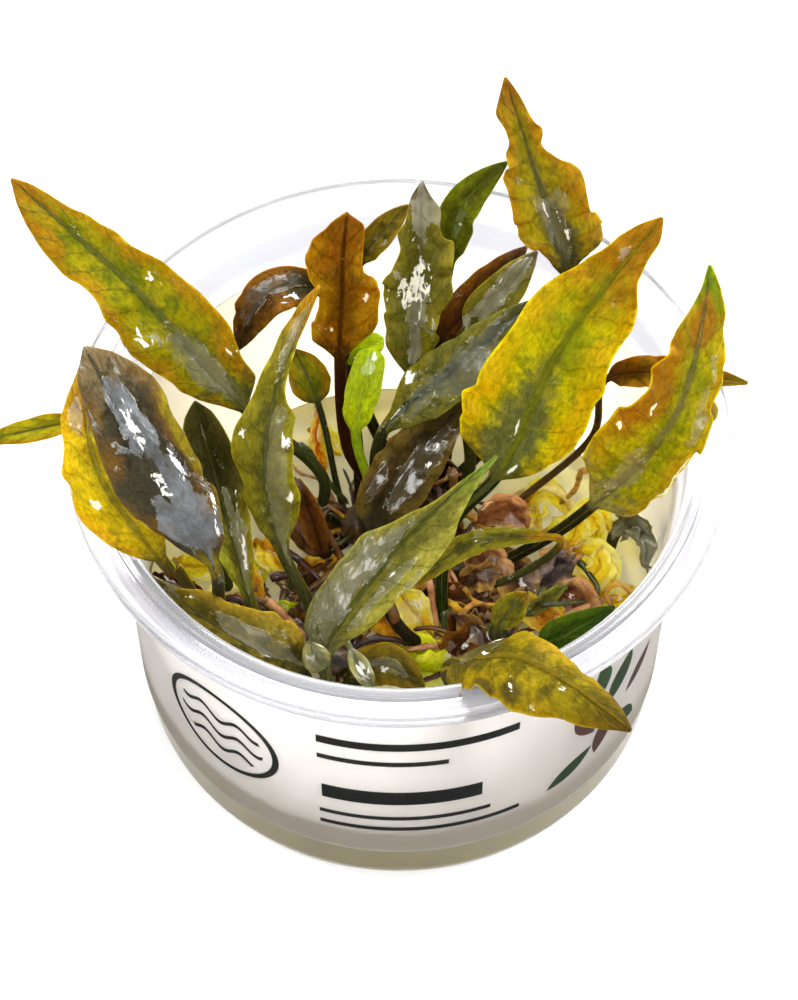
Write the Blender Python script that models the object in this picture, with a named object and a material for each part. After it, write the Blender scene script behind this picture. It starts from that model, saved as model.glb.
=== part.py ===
"""Cryptocoryne wendtii plantlets in their clear culture cup, one named solid per physical piece.

Places are in millimetres, +Z up, the cup's axis on Z and its base at Z = 0; the front is -Y.
Each leaf is one closed skin from its stalk's foot to its tip, laid through measured places.
"""
import bmesh
import bpy
import numpy as np
from math import cos, pi, radians, sin

MM = 0.001
TURNS = 60                # facets around the cup, gel and label

# Cup, outside first and then inside: radius, height
CUP_PROFILE = [
    (42.0, 0), (42.8, 0.5), (43.1, 1.6), (43.1, 55.0), (44.6, 57.8), (44.9, 62.4),
    (49.3, 63.2), (50.0, 63.8), (50.0, 64.7), (49.2, 65.2), (48.8, 64.8), (46.0, 64.8),
    (45.4, 65.2), (44.3, 64.8), (43.7, 63.6), (43.5, 58.2), (42.0, 55.4), (41.9, 2.8),
    (41.6, 1.8), (40.8, 1.2),
]
GEL_PROFILE = [(40.5, 1.5), (41.2, 2.0), (41.6, 3.0), (41.6, 17.4), (41.1, 18.0)]

# Label, wrapped outside the wall with its seam at the back
LABEL_INSIDE = 43.4
LABEL_THICK = 0.3
LABEL_LOW = 10.5
LABEL_HIGH = 54.5
LABEL_SEAM = 2.0          # degrees left open at the seam

# Crowns: the short rootstocks the leaf stalks stand round
CROWN_PROFILE = [(2.2, 18.3), (3.0, 19.4), (2.9, 22.6), (1.7, 24.2)]
CROWN_SIDES = 10
CROWNS = {
    "back": (-7, 11.5), "west": (-24, -8), "left": (-10, -15.5),
    "front": (11, -12), "right": (9, 3.5), "rear": (4, 19),
}
FOOT_RING = 4.8           # a stalk's foot from its crown's axis
FOOT_HEIGHT = 19.0

STALK = 2.0               # stalk thickness
BLADE = 0.8               # blade thickness at its midrib
FACE = (-90, 55)          # bearing and rise of the way a blade's upper side looks
WAVE = 0.6                # how far a blade's margin waves
WAVES = 3
FOLD = 12                 # degrees each half of a blade is folded up
WIDEST = 0.38             # part of a loose blade's length where it is widest

# Around a leaf's section: place across the half width, and side (over 1, under -1)
SECTION = [(-1, 0), (-0.55, 1), (0, 1), (0.55, 1), (1, 0), (0.55, -1), (0, -1), (-0.55, -1)]

# Growing leaves: crown, seat on it in degrees, places on the stalk, blade's base, middle and
# tip, blade's width, where it is widest, colour
LEAVES = {
    "left_long": ("back", 160, [(-12.5, 13, 33)], (-24.5, 13.5, 52), (-41, 22.5, 71.5),
                  (-59.5, 36.5, 80), 14, 0.38, "olive"),
    "left_yellow": ("west", 165, [(-34.5, -12, 45)], (-35, -22, 64), (-43, -16, 78),
                    (-45.5, 2.5, 81), 10.5, 0.38, "yellow"),
    "left_grey": ("west", 205, [(-28, -14.5, 40)], (-27.5, -20.5, 60), (-34.5, -19, 84),
                  (-44, -5.5, 93), 15.5, 0.5, "grey"),
    "left_olive": ("west", 300, [], (-24, -9.5, 32.5), (-28.5, 3, 44.5),
                   (-32, 12.5, 55), 8.5, 0.6, "olive"),
    "centre_left": ("left", 140, [(-14, -9, 26)], (-18.5, -3.5, 36), (-20.5, 4, 57),
                    (-12, 20.5, 74), 9, 0.38, "grey"),
    "orange": ("back", 52, [(-8.5, 19.5, 32)], (-9.5, 25, 50), (-9, 28, 64),
               (-8, 31.5, 78), 11.5, 0.58, "amber"),
    "back_grey": ("rear", 108, [], (2, 24, 47), (3, 28, 66), (3.5, 32.5, 84), 11, 0.38, "grey"),
    "back_green": ("rear", 80, [], (8, 35, 62), (10, 35, 76), (16.5, 36.5, 84), 5.5, 0.5, "green"),
    "top_right": ("rear", 24, [], (26, 27, 69), (21, 29.5, 87), (15.5, 36, 103), 13.5, 0.27, "olive"),
    "right_big": ("front", 130, [(7, -6.5, 25), (8.5, 1.5, 36)], (15.5, 4.5, 46), (24.5, 13, 68),
                  (39.5, 25.5, 84), 19, 0.38, "yellow"),
    "right_tall": ("right", 0, [], (30.5, -2, 48), (42, -2, 79),
                   (45, 11.5, 90), 14, 0.36, "yellow"),
    "front_long": ("left", 265, [], (-11.5, -20, 32), (-2, -10.5, 44), (15, 0, 58), 11, 0.35, "grey"),
    "mid_narrow": ("right", 318, [], (24.5, -4.5, 42), (12.5, -4, 40),
                   (1.5, -8.5, 34), 3.6, 0.6, "green"),
    "front_right": ("front", 265, [], (8.5, -36, 57), (20, -48, 77),
                    (31.5, -55, 72), 13.5, 0.46, "yellow"),
    "front_left": ("left", 215, [], (-15.5, -23.5, 33), (-27.5, -20.5, 41),
                   (-39, -13.5, 46), 8, 0.38, "olive"),
    "front_small": ("left", 312, [], (-7.5, -21.5, 28), (-2.5, -21, 31),
                    (4, -26.5, 32), 6, 0.38, "olive"),
    "bright": ("back", 346, [(-4.5, 12, 31)], (-7, 16, 42), (-6, 18.5, 48),
               (-4, 25, 52), 5.5, 0.38, "lime"),
    "mid_slim": ("rear", 355, [], (11, 26, 56), (16.5, 27.5, 64), (21.5, 30.5, 70), 6.5, 0.38, "grey"),
    "mid_grey": ("rear", 195, [], (-2.5, 17.5, 40), (9, 19.5, 54.5), (21, 24, 66), 8.5, 0.38, "grey"),
    "mid_dark": ("front", 172, [(2.5, -11.5, 22)], (-4.5, 5, 29), (2, 13.5, 36.5),
                 (11, 20.5, 44.5), 10.5, 0.38, "brown"),
    "back_brown": ("rear", 52, [], (6.5, 27.5, 50), (13.5, 30.5, 60), (20, 33, 68), 6, 0.38, "brown"),
    "back_left": ("back", 86, [(-8, 26.5, 36)], (-13, 35.5, 54), (-20.5, 30, 60),
                  (-26, 28, 48), 6.5, 0.38, "brown"),
    "rear_brown": ("rear", 136, [], (-6.5, 38, 58), (-2.5, 39.5, 64), (1.5, 41.5, 68), 5, 0.38, "brown"),
    "far_left": ("west", 120, [(-35, -4, 52), (-39, -3, 66)],
                 (-47, -2, 69.8), (-55, -3, 69), (-62.5, -4.5, 68), 3.5, 0.38, "olive"),
    "right_small": ("right", 52, [(31.5, 17.5, 38)], (33, 15, 58), (41.5, 10, 66),
                    (53, 8, 66), 5, 0.38, "amber"),
    "low_olive": ("back", 118, [], (-13.5, 26, 36), (-15, 29, 39), (-17.5, 32.5, 42), 6.5, 0.38, "olive"),
    "front_green": ("front", 335, [], (22.5, -17, 30), (27.5, -18, 36), (33.5, -16, 40), 6, 0.38, "green"),
    "front_tip": ("front", 20, [], (15.5, -15, 32), (17.5, -14, 36), (20, -13.5, 40), 5, 0.38, "olive"),
    "old": ("back", 218, [], (-12.5, 2.5, 27), (-14, 4, 34), (-16, 6.5, 42), 4, 0.38, "brown"),
}
# Loose and dying pieces on the gel: start, base, middle, tip, width, colour
LOOSE = {
    "curled_green": ((34.5, 4.5, 20), (36, 7, 26), (39, 4.5, 31), (41, -0.5, 27), 5, "green"),
    "rolled_yellow": ((31, 5, 20), (32, 6.5, 21.5), (32, 8, 28), (29.5, 11, 27), 3.5, "straw"),
    "withered_purple": ((20.5, -2.5, 19.5), (22, -1.5, 20.5), (25.5, 0.5, 23), (30, 3.5, 24), 6.5, "mauve"),
    "withered_brown": ((8.5, -6, 19.5), (10.5, -5.5, 20), (13.5, -5, 22), (17, -2.5, 22), 5.5, "brown"),
    "torn_yellow": ((29.5, -1.5, 19.5), (30.5, -0.5, 21), (32.5, 0, 25), (33, 3, 28), 5.5, "straw"),
    "hoop_straw": ((21, 16, 19.5), (22, 16, 22.5), (25, 16, 26), (28.5, 15, 23), 2, "straw"),
    "strip_green": ((20, -6, 20), (21.5, -6, 22), (24, -5.5, 25), (27, -3, 25), 2.6, "lime"),
}
FACES = {"front_right": (-90, 82)}     # blades that look another way than FACE
STALKS = {"bright": 1.6}               # stalks of another thickness than STALK

COLOURS = {
    "olive": (0.30, 0.26, 0.05), "yellow": (0.55, 0.42, 0.03), "grey": (0.22, 0.22, 0.15),
    "amber": (0.45, 0.20, 0.02), "green": (0.12, 0.18, 0.03), "lime": (0.35, 0.48, 0.06),
    "brown": (0.14, 0.08, 0.03), "straw": (0.70, 0.58, 0.18), "mauve": (0.30, 0.22, 0.20),
    "clear": (0.95, 0.96, 0.97), "gel": (0.80, 0.80, 0.52), "paper": (0.90, 0.90, 0.90),
    "crown": (0.30, 0.28, 0.12),
}
ROUGHNESS = {"clear": 0.1, "gel": 0.2, "paper": 0.5}


def material(colour):
    """One Principled material per colour name."""
    mat = bpy.data.materials.get(colour)
    if mat is None:
        mat = bpy.data.materials.new(colour)
        mat.use_nodes = True
        surface = mat.node_tree.nodes["Principled BSDF"]
        surface.inputs["Base Color"].default_value = (*COLOURS[colour], 1)
        surface.inputs["Roughness"].default_value = ROUGHNESS.get(colour, 0.3)
        if colour in ("clear", "gel"):
            surface.inputs["Transmission Weight"].default_value = 0.9
    return mat


def link(name, mesh, colour):
    """An object for the mesh, smooth except at sharp edges, under the part's empty."""
    mesh.materials.append(material(colour))
    mesh.shade_smooth()
    mesh.set_sharp_from_angle(angle=radians(40))
    obj = bpy.data.objects.new(name, mesh)
    bpy.context.collection.objects.link(obj)
    obj.parent = stand
    return obj


def turned(name, profile, sides, colour):
    """A solid of revolution: a profile from axis to axis, spun about Z."""
    bm = bmesh.new()
    points = [(0, profile[0][1])] + profile + [(0, profile[-1][1])]
    verts = [bm.verts.new((MM * radius, 0, MM * height)) for radius, height in points]
    edges = [bm.edges.new(pair) for pair in zip(verts, verts[1:])]
    bmesh.ops.spin(bm, geom=verts + edges, axis=(0, 0, 1), cent=(0, 0, 0), angle=2 * pi,
                   steps=sides, use_merge=True)
    bmesh.ops.remove_doubles(bm, verts=bm.verts, dist=0.00001)
    bmesh.ops.recalc_face_normals(bm, faces=bm.faces)
    mesh = bpy.data.meshes.new(name)
    bm.to_mesh(mesh)
    bm.free()
    return link(name, mesh, colour)


def skin(name, rings, colour):
    """A closed solid through rings of equal counts, capped at both ends."""
    bm = bmesh.new()
    loops = [[bm.verts.new([MM * c for c in point]) for point in ring] for ring in rings]
    count = len(rings[0])
    for low, high in zip(loops, loops[1:]):
        for j in range(count):
            k = (j + 1) % count
            bm.faces.new((low[j], low[k], high[k]))
            bm.faces.new((low[j], high[k], high[j]))
    bm.faces.new(loops[0][::-1])
    bm.faces.new(loops[-1])
    mesh = bpy.data.meshes.new(name)
    bm.to_mesh(mesh)
    bm.free()
    return link(name, mesh, colour)


def midrib(places, stations):
    """Points on a smooth curve through the places, at lengths along their chords."""
    places = np.array(places, float)
    chords = np.linalg.norm(np.diff(places, axis=0), axis=1)
    along = np.concatenate([[0], np.cumsum(chords)])
    ways = np.diff(places, axis=0) / chords[:, None]
    slopes = np.zeros_like(places)
    slopes[0] = ways[0] + (0, 0, 0.7)
    slopes[0] /= np.linalg.norm(slopes[0])
    for i in range(1, len(places) - 1):
        slopes[i] = (ways[i - 1] * chords[i] + ways[i] * chords[i - 1]) / (chords[i - 1] + chords[i])
    slopes[-1] = 1.5 * ways[-1] - 0.5 * slopes[-2]
    points = []
    for s in stations:
        i = min(np.searchsorted(along, s, side="right") - 1, len(chords) - 1)
        u, h = (s - along[i]) / chords[i], chords[i]
        points.append((2 * u**3 - 3 * u**2 + 1) * places[i] + (u**3 - 2 * u**2 + u) * h * slopes[i]
                      + (3 * u**2 - 2 * u**3) * places[i + 1] + (u**3 - u**2) * h * slopes[i + 1])
    return np.array(points)


def leaf(name, stalk, blade, width, widest, colour, face=FACE, thick=STALK):
    """One leaf: a round stalk that opens into a folded, waved blade."""
    places = np.array(stalk + blade, float)
    along = np.concatenate([[0], np.cumsum(np.linalg.norm(np.diff(places, axis=0), axis=1))])
    base, tip = along[len(stalk)], along[-1]
    short = tip - base < 26
    stalk_rings, blade_rings = (3, 6) if short else (4, 8)
    stations = list(np.linspace(0, base, stalk_rings, endpoint=False))
    stations += list(base + (tip - base) * np.linspace(0, 1, blade_rings) ** 0.95)
    centre = midrib(places, stations)
    tangent = np.gradient(centre, stations, axis=0)
    looks = np.array([cos(radians(face[1])) * cos(radians(face[0])),
                      cos(radians(face[1])) * sin(radians(face[0])), sin(radians(face[1]))])
    rings = []
    for point, forward, s in zip(centre, tangent, stations):
        forward = forward / np.linalg.norm(forward)
        side = np.cross(forward, looks)
        side /= np.linalg.norm(side)
        up = np.cross(side, forward)
        q = min(max((s - base) / (tip - base), 0), 1)
        a, b = 1.3 * widest, 1.3 * (1 - widest)
        full = width * (q / widest) ** a * ((1 - q) / (1 - widest)) ** b
        half = max(full, 1.0 if q > 0 else thick) / 2
        depth = (thick if q == 0 else max(BLADE, thick * (1 - 4 * q))) / 2
        fold = radians(FOLD) * min(6 * q, 1)
        wave = WAVE * sin(2 * pi * WAVES * q) * min(5 * q, 1) * min(4 * (1 - q), 1)
        ring = []
        for x, over in SECTION:
            lift = half * abs(x) * sin(fold) + x * abs(x) * wave
            lift += over * depth * (1 if x == 0 else 0.8)
            ring.append(point + side * half * x * cos(fold) + up * lift)
        rings.append(ring)
    return skin(name, rings, colour)


def label():
    """The strip round the wall; its ends meet at the back with the seam open."""
    rings = []
    for i in range(TURNS):
        angle = radians(90 + LABEL_SEAM / 2 + (360 - LABEL_SEAM) * i / (TURNS - 1))
        ring = []
        for radius, height in [(LABEL_INSIDE, LABEL_LOW), (LABEL_INSIDE + LABEL_THICK, LABEL_LOW),
                               (LABEL_INSIDE + LABEL_THICK, LABEL_HIGH), (LABEL_INSIDE, LABEL_HIGH)]:
            ring.append((radius * cos(angle), radius * sin(angle), height))
        rings.append(ring[::-1])
    return skin("label", rings, "paper")


for old in list(bpy.data.objects):
    bpy.data.objects.remove(old, do_unlink=True)
stand = bpy.data.objects.new("stand", None)
bpy.context.collection.objects.link(stand)

turned("cup", CUP_PROFILE, TURNS, "clear")
turned("gel", GEL_PROFILE, TURNS, "gel")
label()
for name, (x, y) in CROWNS.items():
    crown = turned("crown_" + name, CROWN_PROFILE, CROWN_SIDES, "crown")
    crown.location = (MM * x, MM * y, 0)
for name, (crown, seat, via, base, middle, tip, width, widest, colour) in LEAVES.items():
    x, y = CROWNS[crown]
    foot = (x + FOOT_RING * cos(radians(seat)), y + FOOT_RING * sin(radians(seat)), FOOT_HEIGHT)
    leaf("leaf_" + name, [foot] + via, [base, middle, tip], width, widest, colour,
         FACES.get(name, FACE), STALKS.get(name, STALK))
for name, (start, base, middle, tip, width, colour) in LOOSE.items():
    leaf("leaf_" + name, [start], [base, middle, tip], width, WIDEST, colour)
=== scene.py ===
"""Looks of the cryptocoryne plantlets in their clear culture cup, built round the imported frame.

Places and sizes in the tables are millimetres in the frame's own axes: +Z up, the cup's axis on Z,
its base at Z = 0 and the front at -Y. Every piece is a surface worked out on a grid with numpy.
"""
from collections import defaultdict
from functools import partial
from math import cos, pi, radians, sin

import bpy
import numpy as np
from bpy.props import FloatProperty, FloatVectorProperty, IntProperty, PointerProperty
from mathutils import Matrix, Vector


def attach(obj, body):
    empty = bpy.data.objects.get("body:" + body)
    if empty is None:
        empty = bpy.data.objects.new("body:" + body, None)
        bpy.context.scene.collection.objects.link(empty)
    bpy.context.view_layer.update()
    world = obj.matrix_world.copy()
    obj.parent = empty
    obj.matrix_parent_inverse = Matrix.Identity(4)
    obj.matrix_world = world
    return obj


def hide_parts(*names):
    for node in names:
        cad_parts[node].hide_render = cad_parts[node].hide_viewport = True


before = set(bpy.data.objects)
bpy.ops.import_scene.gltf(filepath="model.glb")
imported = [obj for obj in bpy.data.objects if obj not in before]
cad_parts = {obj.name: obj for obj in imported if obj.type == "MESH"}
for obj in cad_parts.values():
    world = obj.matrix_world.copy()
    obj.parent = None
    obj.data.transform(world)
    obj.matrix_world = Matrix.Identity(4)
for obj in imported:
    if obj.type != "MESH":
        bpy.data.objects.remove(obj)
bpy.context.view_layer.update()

bl_info = {
    "name": "Cryptocoryne in a Culture Cup",
    "version": (1, 0, 0),
    "blender": (4, 5, 0),
    "location": "3D View > Sidebar > Plant Cup",
    "description": "Wet wavy leaves, crowns, roots, gel, cup and label round a packed frame",
    "category": "Object",
}

MM = 0.001
# Camera and floor in metres: fitted to the photograph by the cup's rim, base and wall
CAMERA = (0, -0.2168, 0.3730)
CAMERA_TARGET = (0, 0, 0.04586)
LAMP_TARGET = (0, 0, 0.04)
FLOOR_REACH = 2.5
FLOOR_DROP = 0.0001         # the floor lies this far under the cup's base

# Cup profile, outside first and then inside: radius, height, radius of the rounding there
CUP_PROFILE = [
    (30, 0, 0), (42.2, 0, 0.9), (43.1, 2.4, 0.8), (43.1, 54.6, 1.2), (44.5, 57.2, 1.2),
    (44.9, 62.3, 0.5), (49.0, 63.0, 0.4), (49.95, 63.3, 0.3), (50.0, 65.2, 0.35), (49.0, 65.2, 0.35),
    (48.6, 64.6, 0.3), (46.6, 64.6, 0.3), (46.2, 65.2, 0.3), (44.6, 65.2, 0.5), (43.7, 63.6, 0.6),
    (43.5, 58.0, 1.0), (42.0, 55.2, 1.0), (41.9, 2.6, 0.8), (40.9, 1.2, 0.8), (29, 1.2, 0),
]
GEL_PROFILE = [(30, 1.15, 0), (40.9, 1.15, 0.5), (42.0, 2.5, 0.6), (42.0, 18.0, 0.3), (41.5, 18.4, 0.3)]
GEL_LEVEL = 18.0
GEL_EDGE = 41.2             # beyond this radius the gel lies against the wall
LABEL_RADIUS = 43.4
LABEL_HEIGHTS = (10.5, 54.5)
LABEL_SEAM = 0.2            # gap of the label at the back, in degrees


def blade(places, fold, roll, ruffle, **more):
    """A row of the leaf tables.

    Places run up the stalk to the blade's base, middle and tip. Each half folds up and then turns
    at its margin by the degrees in fold and roll. Ruffle is the height and count of the margin's
    waves. Half widths left and right are at sixteenths of the blade, or there is one full width.
    Film, glint and stain are patches of water film with a painted grey sheen, of painted white
    glints and of stain: the part of the blade and of its half width where each has its middle, and
    its reach along and across.
    """
    return dict(places=places, fold=fold, roll=roll, ruffle=ruffle, **more)


# Crowns and where a stalk's foot stands round one
CROWNS = {
    "back": (-7, 11.5), "west": (-24, -8), "left": (-10, -15.5),
    "front": (11, -12), "right": (9, 3.5), "rear": (4, 19),
}
CROWN_PROFILE = [(1.2, 18.3, 0), (2.6, 18.4, 0.4), (3.1, 20.5, 0.6), (2.5, 23.3, 0.5), (0.8, 24.1, 0)]
FOOT_RING = 4.8
FOOT_HEIGHT = 19.0

# Each leaf: its crown, its seat round that in degrees, and its shape
LEAVES = {
    "left_long": ("back", 160, blade(
        [(-12.5, 13, 33), (-24.5, 13.5, 52), (-41, 22.5, 71.5), (-59.5, 36.5, 80)], (10, 14), (-15, 10),
        (0.55, 5), finish="amber_olive",
        left=[2.5, 4.5, 5.5, 6, 7, 7.5, 7, 6.5, 5.5, 5.5, 6, 5.5, 5, 4, 2.5],
        right=[5, 5, 6, 7, 7, 7, 6.5, 6, 5, 4.5, 4, 3.5, 2.5, 2, 1.5], film=[(0.2, -0.1, 0.26, 0.75)],
        glint=[(0.74, 0.3, 0.05, 0.28), (0.5, 0.5, 0.05, 0.2), (0.4, -0.6, 0.09, 0.3),
                (0.18, 0.75, 0.06, 0.3), (0.74, 0.25, 0.05, 0.3)],
        stain=[(0.02, 0, 0.42, 0.55)])),
    "left_yellow": ("west", 165, blade(
        [(-34.5, -12, 45), (-35, -22, 64), (-43, -16, 78), (-45.5, 2.5, 81)], (-6, 8), (-20, 10), (0.5, 4),
        finish="yellow_left", left=[2.5, 4, 5, 5.5, 6, 5.5, 5, 5, 4.5, 4, 4, 4, 3, 2, 1.2],
        right=[2, 3, 4, 4.5, 5, 5, 5, 4.5, 4.5, 4, 3.5, 3, 2.5, 1.5, 1], film=[(0.72, -0.4, 0.12, 0.35)],
        glint=[(0.35, -0.5, 0.06, 0.3)], stain=[(0.95, 0, 0.5, 1.2)])),
    "left_grey": ("west", 205, blade(
        [(-28, -14.5, 40), (-27.5, -20.5, 60), (-34.5, -19, 84), (-44, -5.5, 93)], (-14, 16), (-30, 25),
        (0.8, 3), finish="silver_grey", left=[2, 4, 5, 5.5, 6, 6.5, 7, 7, 7, 6.5, 6, 5.5, 5, 4.3, 3.2],
        right=[1.5, 2.5, 3.5, 4, 5, 5.5, 5, 6, 6, 6, 6, 6.5, 6.2, 5, 3.2],
        film=[(0.3, 0.1, 0.36, 0.85), (0.7, 0.1, 0.2, 0.4)],
        glint=[(0.7, 0.05, 0.2, 0.24), (0.56, 0.5, 0.14, 0.2), (0.5, -0.05, 0.14, 0.2),
                (0.3, 0.8, 0.3, 0.14)],
        stain=[(0.0, 0, 0.16, 1.2), (0.62, 0.95, 0.2, 0.3)])),
    "left_olive": ("west", 300, blade(
        [(-24, -9.5, 32.5), (-28.5, 3, 44.5), (-32, 12.5, 55)], (24, 24), (0, -30), (0.6, 4), finish="dusk",
        width=9, widest=0.6, film=[(0.3, 0.4, 0.35, 0.5)],
        glint=[(0.22, 0.5, 0.22, 0.28), (0.5, 0.6, 0.1, 0.2)], stain=[(0.2, -0.8, 0.3, 0.4)])),
    "centre_left": ("left", 140, blade(
        [(-14, -9, 26), (-18.5, -3.5, 36), (-20.5, 4, 57), (-12, 20.5, 74)], (24, 20), (-40, -30), (0.7, 6),
        finish="wet_olive", left=[1.5, 2.5, 3, 3.5, 3.5, 4.5, 5, 5, 4, 3, 3, 2.5, 2.5, 2, 1.5],
        right=[2, 4, 5, 5, 4.5, 4.5, 4.5, 4, 4, 2, 1, 0.8, 0.5, 0.5, 0.4],
        film=[(0.3, 0.45, 0.5, 0.5), (0.8, -0.2, 0.2, 0.6)],
        glint=[(0.5, -0.75, 0.05, 0.3), (0.48, 0.75, 0.07, 0.3), (0.25, 0.7, 0.05, 0.3)],
        stain=[(1.0, 0, 0.24, 1.5)])),
    "orange": ("back", 52, blade(
        [(-8.5, 19.5, 32), (-9.5, 25, 50), (-9, 28, 64), (-8, 31.5, 78)], (14, 14), (30, -30), (0.8, 4),
        finish="amber", left=[2.5, 4.5, 4.5, 4.5, 4, 3.5, 3.5, 3.5, 5, 5.5, 6, 5.5, 5, 4, 2.5],
        right=[2, 3.5, 5.5, 6, 6, 6, 6, 6, 5.5, 3.5, 3, 3, 3, 3, 2.8],
        glint=[(0.45, 0.6, 0.06, 0.3), (0.2, -0.3, 0.04, 0.3)], stain=[(0.3, -0.9, 0.2, 0.5)])),
    "back_grey": ("rear", 108, blade(
        [(2, 24, 47), (3, 28, 66), (3.5, 32.5, 84)], (20, 20), (-45, -45), (1.0, 5), finish="wet_grey",
        left=[2.5, 4, 4.5, 4.5, 5, 4.5, 5.5, 5.5, 4.5, 3.5, 3, 3.5, 2.5, 2, 1.5],
        right=[1.5, 3, 4, 3.5, 3.5, 4, 5.5, 5.5, 5, 5.5, 5, 3.5, 3, 3, 1.5],
        film=[(0.9, 0, 0.25, 1.2), (0.3, 0, 0.3, 0.5)], glint=[(0.5, -0.1, 0.32, 1.0)],
        stain=[(0.2, 0.8, 0.2, 0.5)])),
    "back_green": ("rear", 80, blade(
        [(8, 35, 62), (10, 35, 76), (16.5, 36.5, 84)], (20, 20), (0, 0), (0.2, 2), finish="moss", width=6.5,
        widest=0.45, film=[(0.4, 0.2, 0.3, 0.4)], glint=[(0.4, 0.3, 0.12, 0.25)])),
    "top_right": ("rear", 24, blade(
        [(26, 27, 69), (21, 29.5, 87), (15.5, 36, 103)], (18, 18), (-20, -20), (0.9, 6),
        finish="olive_grey", left=[2, 2.5, 3.5, 4.5, 5.5, 5.5, 5.5, 5, 5, 4.5, 3.5, 2.5, 2.5, 3, 1.8],
        right=[2.5, 6.5, 7, 6.5, 5.5, 6, 6.5, 6.5, 5.5, 3.5, 2, 3, 1.8, 1.5, 1],
        film=[(0.28, 0.1, 0.26, 0.55)], glint=[(0.3, 0.2, 0.2, 0.1), (0.36, -0.1, 0.14, 0.1)],
        stain=[(0.15, 0, 0.45, 0.6)])),
    "right_big": ("front", 130, blade(
        [(7, -6.5, 25), (8.5, 1.5, 36), (15.5, 4.5, 46), (24.5, 13, 68), (39.5, 25.5, 84)], (8, 8),
        (-10, -14), (0.6, 5), finish="yellow",
        left=[8.5, 9.5, 10, 10.5, 9.5, 9, 8.5, 8, 8, 7.5, 6.5, 5, 4, 3.2, 2.2],
        right=[4.5, 6.5, 8.5, 9, 9, 9, 9, 8.5, 8, 7.5, 7, 6, 3.5, 2.6, 2.2], film=[(0.85, -0.3, 0.07, 0.5)],
        glint=[(0.05, 0.3, 0.05, 0.2), (0.2, -0.1, 0.14, 0.08)], stain=[(0.08, -0.05, 0.5, 0.65)])),
    "right_tall": ("right", 0, blade(
        [(30.5, -2, 48), (42, -2, 79), (45, 11.5, 90)], (8, 12), (-15, 75), (1.1, 6), finish="yellow_right",
        left=[3, 6.5, 7.5, 8, 8, 8, 8, 7, 6, 5.5, 5.5, 4, 3.5, 2, 0.8],
        right=[4.5, 5.5, 5.5, 5, 5.5, 5, 5.5, 5.5, 5.5, 4, 4.5, 4, 3.5, 3, 2],
        film=[(0.2, 0, 0.2, 0.5), (0.6, 0.6, 0.2, 0.3)],
        glint=[(0.55, -0.55, 0.05, 0.25), (0.4, -0.8, 0.05, 0.25), (0.35, 0.95, 0.2, 0.16)],
        stain=[(0.6, -0.8, 0.32, 0.75), (0.85, 0, 0.12, 0.8)],
        lobes=[
            blade([(43.5, -1.5, 77), (44.5, -2, 76), (45.5, -3, 75), (46, -4, 73)], (30, 30), (60, 60),
                (0.2, 2), width=2.8, widest=0.5, thick=0.9, film=[(0.5, 0, 1, 2)])])),
    "front_long": ("left", 265, blade(
        [(-11.5, -20, 32), (-2, -10.5, 44), (15, 0, 58)], (4, 44), (-20, -10), (0.25, 3), finish="jade",
        left=[4.5, 5.5, 6, 6, 6, 5.5, 5.5, 4.5, 3.5, 2.5, 1.5, 1, 0.8, 0.6, 0.4],
        right=[1.5, 2.5, 3.5, 4.5, 5, 5, 5.5, 5.5, 5.5, 5.5, 5, 3.5, 2.5, 1.5, 0.8],
        film=[(0.3, -0.5, 0.4, 0.6), (0.35, 0.5, 0.3, 0.2)], glint=[(0.42, 0.35, 0.05, 0.2)],
        stain=[(0.2, -0.6, 0.5, 0.7)],
        lobes=[
            blade([(-13, -21, 39.5), (-13.5, -21.5, 39), (-13, -23.5, 38), (-11.5, -24.5, 36)], (15, 15),
                (-20, -20), (0.2, 2), width=4.5, widest=0.6, thick=0.9, film=[(0.5, 0, 1, 2)]),
            blade([(-8, -21.5, 38.5), (-7.5, -22.5, 38), (-6, -25, 37), (-4, -27.5, 35)], (30, 30), (0, 0),
                (0.2, 2), width=3.6, widest=0.5, thick=0.9, film=[(0.5, 0, 1, 2)],
                glint=[(0.5, 0, 0.6, 1.2)])])),
    "mid_narrow": ("right", 318, blade(
        [(24.5, -4.5, 42), (12.5, -4, 40), (1.5, -8.5, 34)], (20, 20), (20, -20), (0.5, 5),
        finish="wet_olive", width=4.2, widest=0.6, thick=1.3, glint=[(0.45, 0.2, 0.12, 0.4)],
        stain=[(0.0, 0, 0.3, 1.5)])),
    "front_right": ("front", 265, blade(
        [(8.5, -36, 57), (20, -48, 77), (31.5, -55, 72)], (-10, -6), (-35, -25), (0.5, 4),
        finish="yellow_front", face=(-90, 82), left=[7, 8, 8, 7.5, 6.5, 6, 5, 4.5, 4, 3.5, 3, 3, 3, 2.5, 2],
        right=[3.5, 4.5, 4.5, 5, 5.5, 5.5, 6, 6.5, 7, 7, 6.5, 5.5, 4.5, 3.5, 2],
        film=[(0.14, -0.3, 0.26, 0.7)],
        glint=[(0.14, -0.7, 0.12, 0.25), (0.24, -0.1, 0.08, 0.2), (0.55, 0.6, 0.06, 0.25),
                (0.75, 0.2, 0.05, 0.25)],
        stain=[(0.14, -0.1, 0.3, 0.8), (0.55, 0.7, 0.1, 0.3), (0.4, 0.9, 0.08, 0.3)])),
    "front_left": ("left", 215, blade(
        [(-15.5, -23.5, 33), (-27.5, -20.5, 41), (-39, -13.5, 46)], (16, 10), (0, -20), (0.5, 5),
        finish="dark_olive", left=[1, 1.5, 2, 2.5, 2.5, 2.5, 2.5, 2, 2, 2, 2, 2, 2, 1.5, 1],
        right=[3, 5.5, 6, 6, 6, 5.5, 5, 4.5, 4, 4, 3.5, 2.5, 1.5, 1, 0.5], film=[(0.4, 0.3, 0.4, 0.5)],
        glint=[(0.75, 0.5, 0.05, 0.3)])),
    "front_small": ("left", 312, blade(
        [(-7.5, -21.5, 28), (-2.5, -21, 31), (4, -26.5, 32)], (18, 12), (-20, -20), (0.4, 3),
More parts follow.
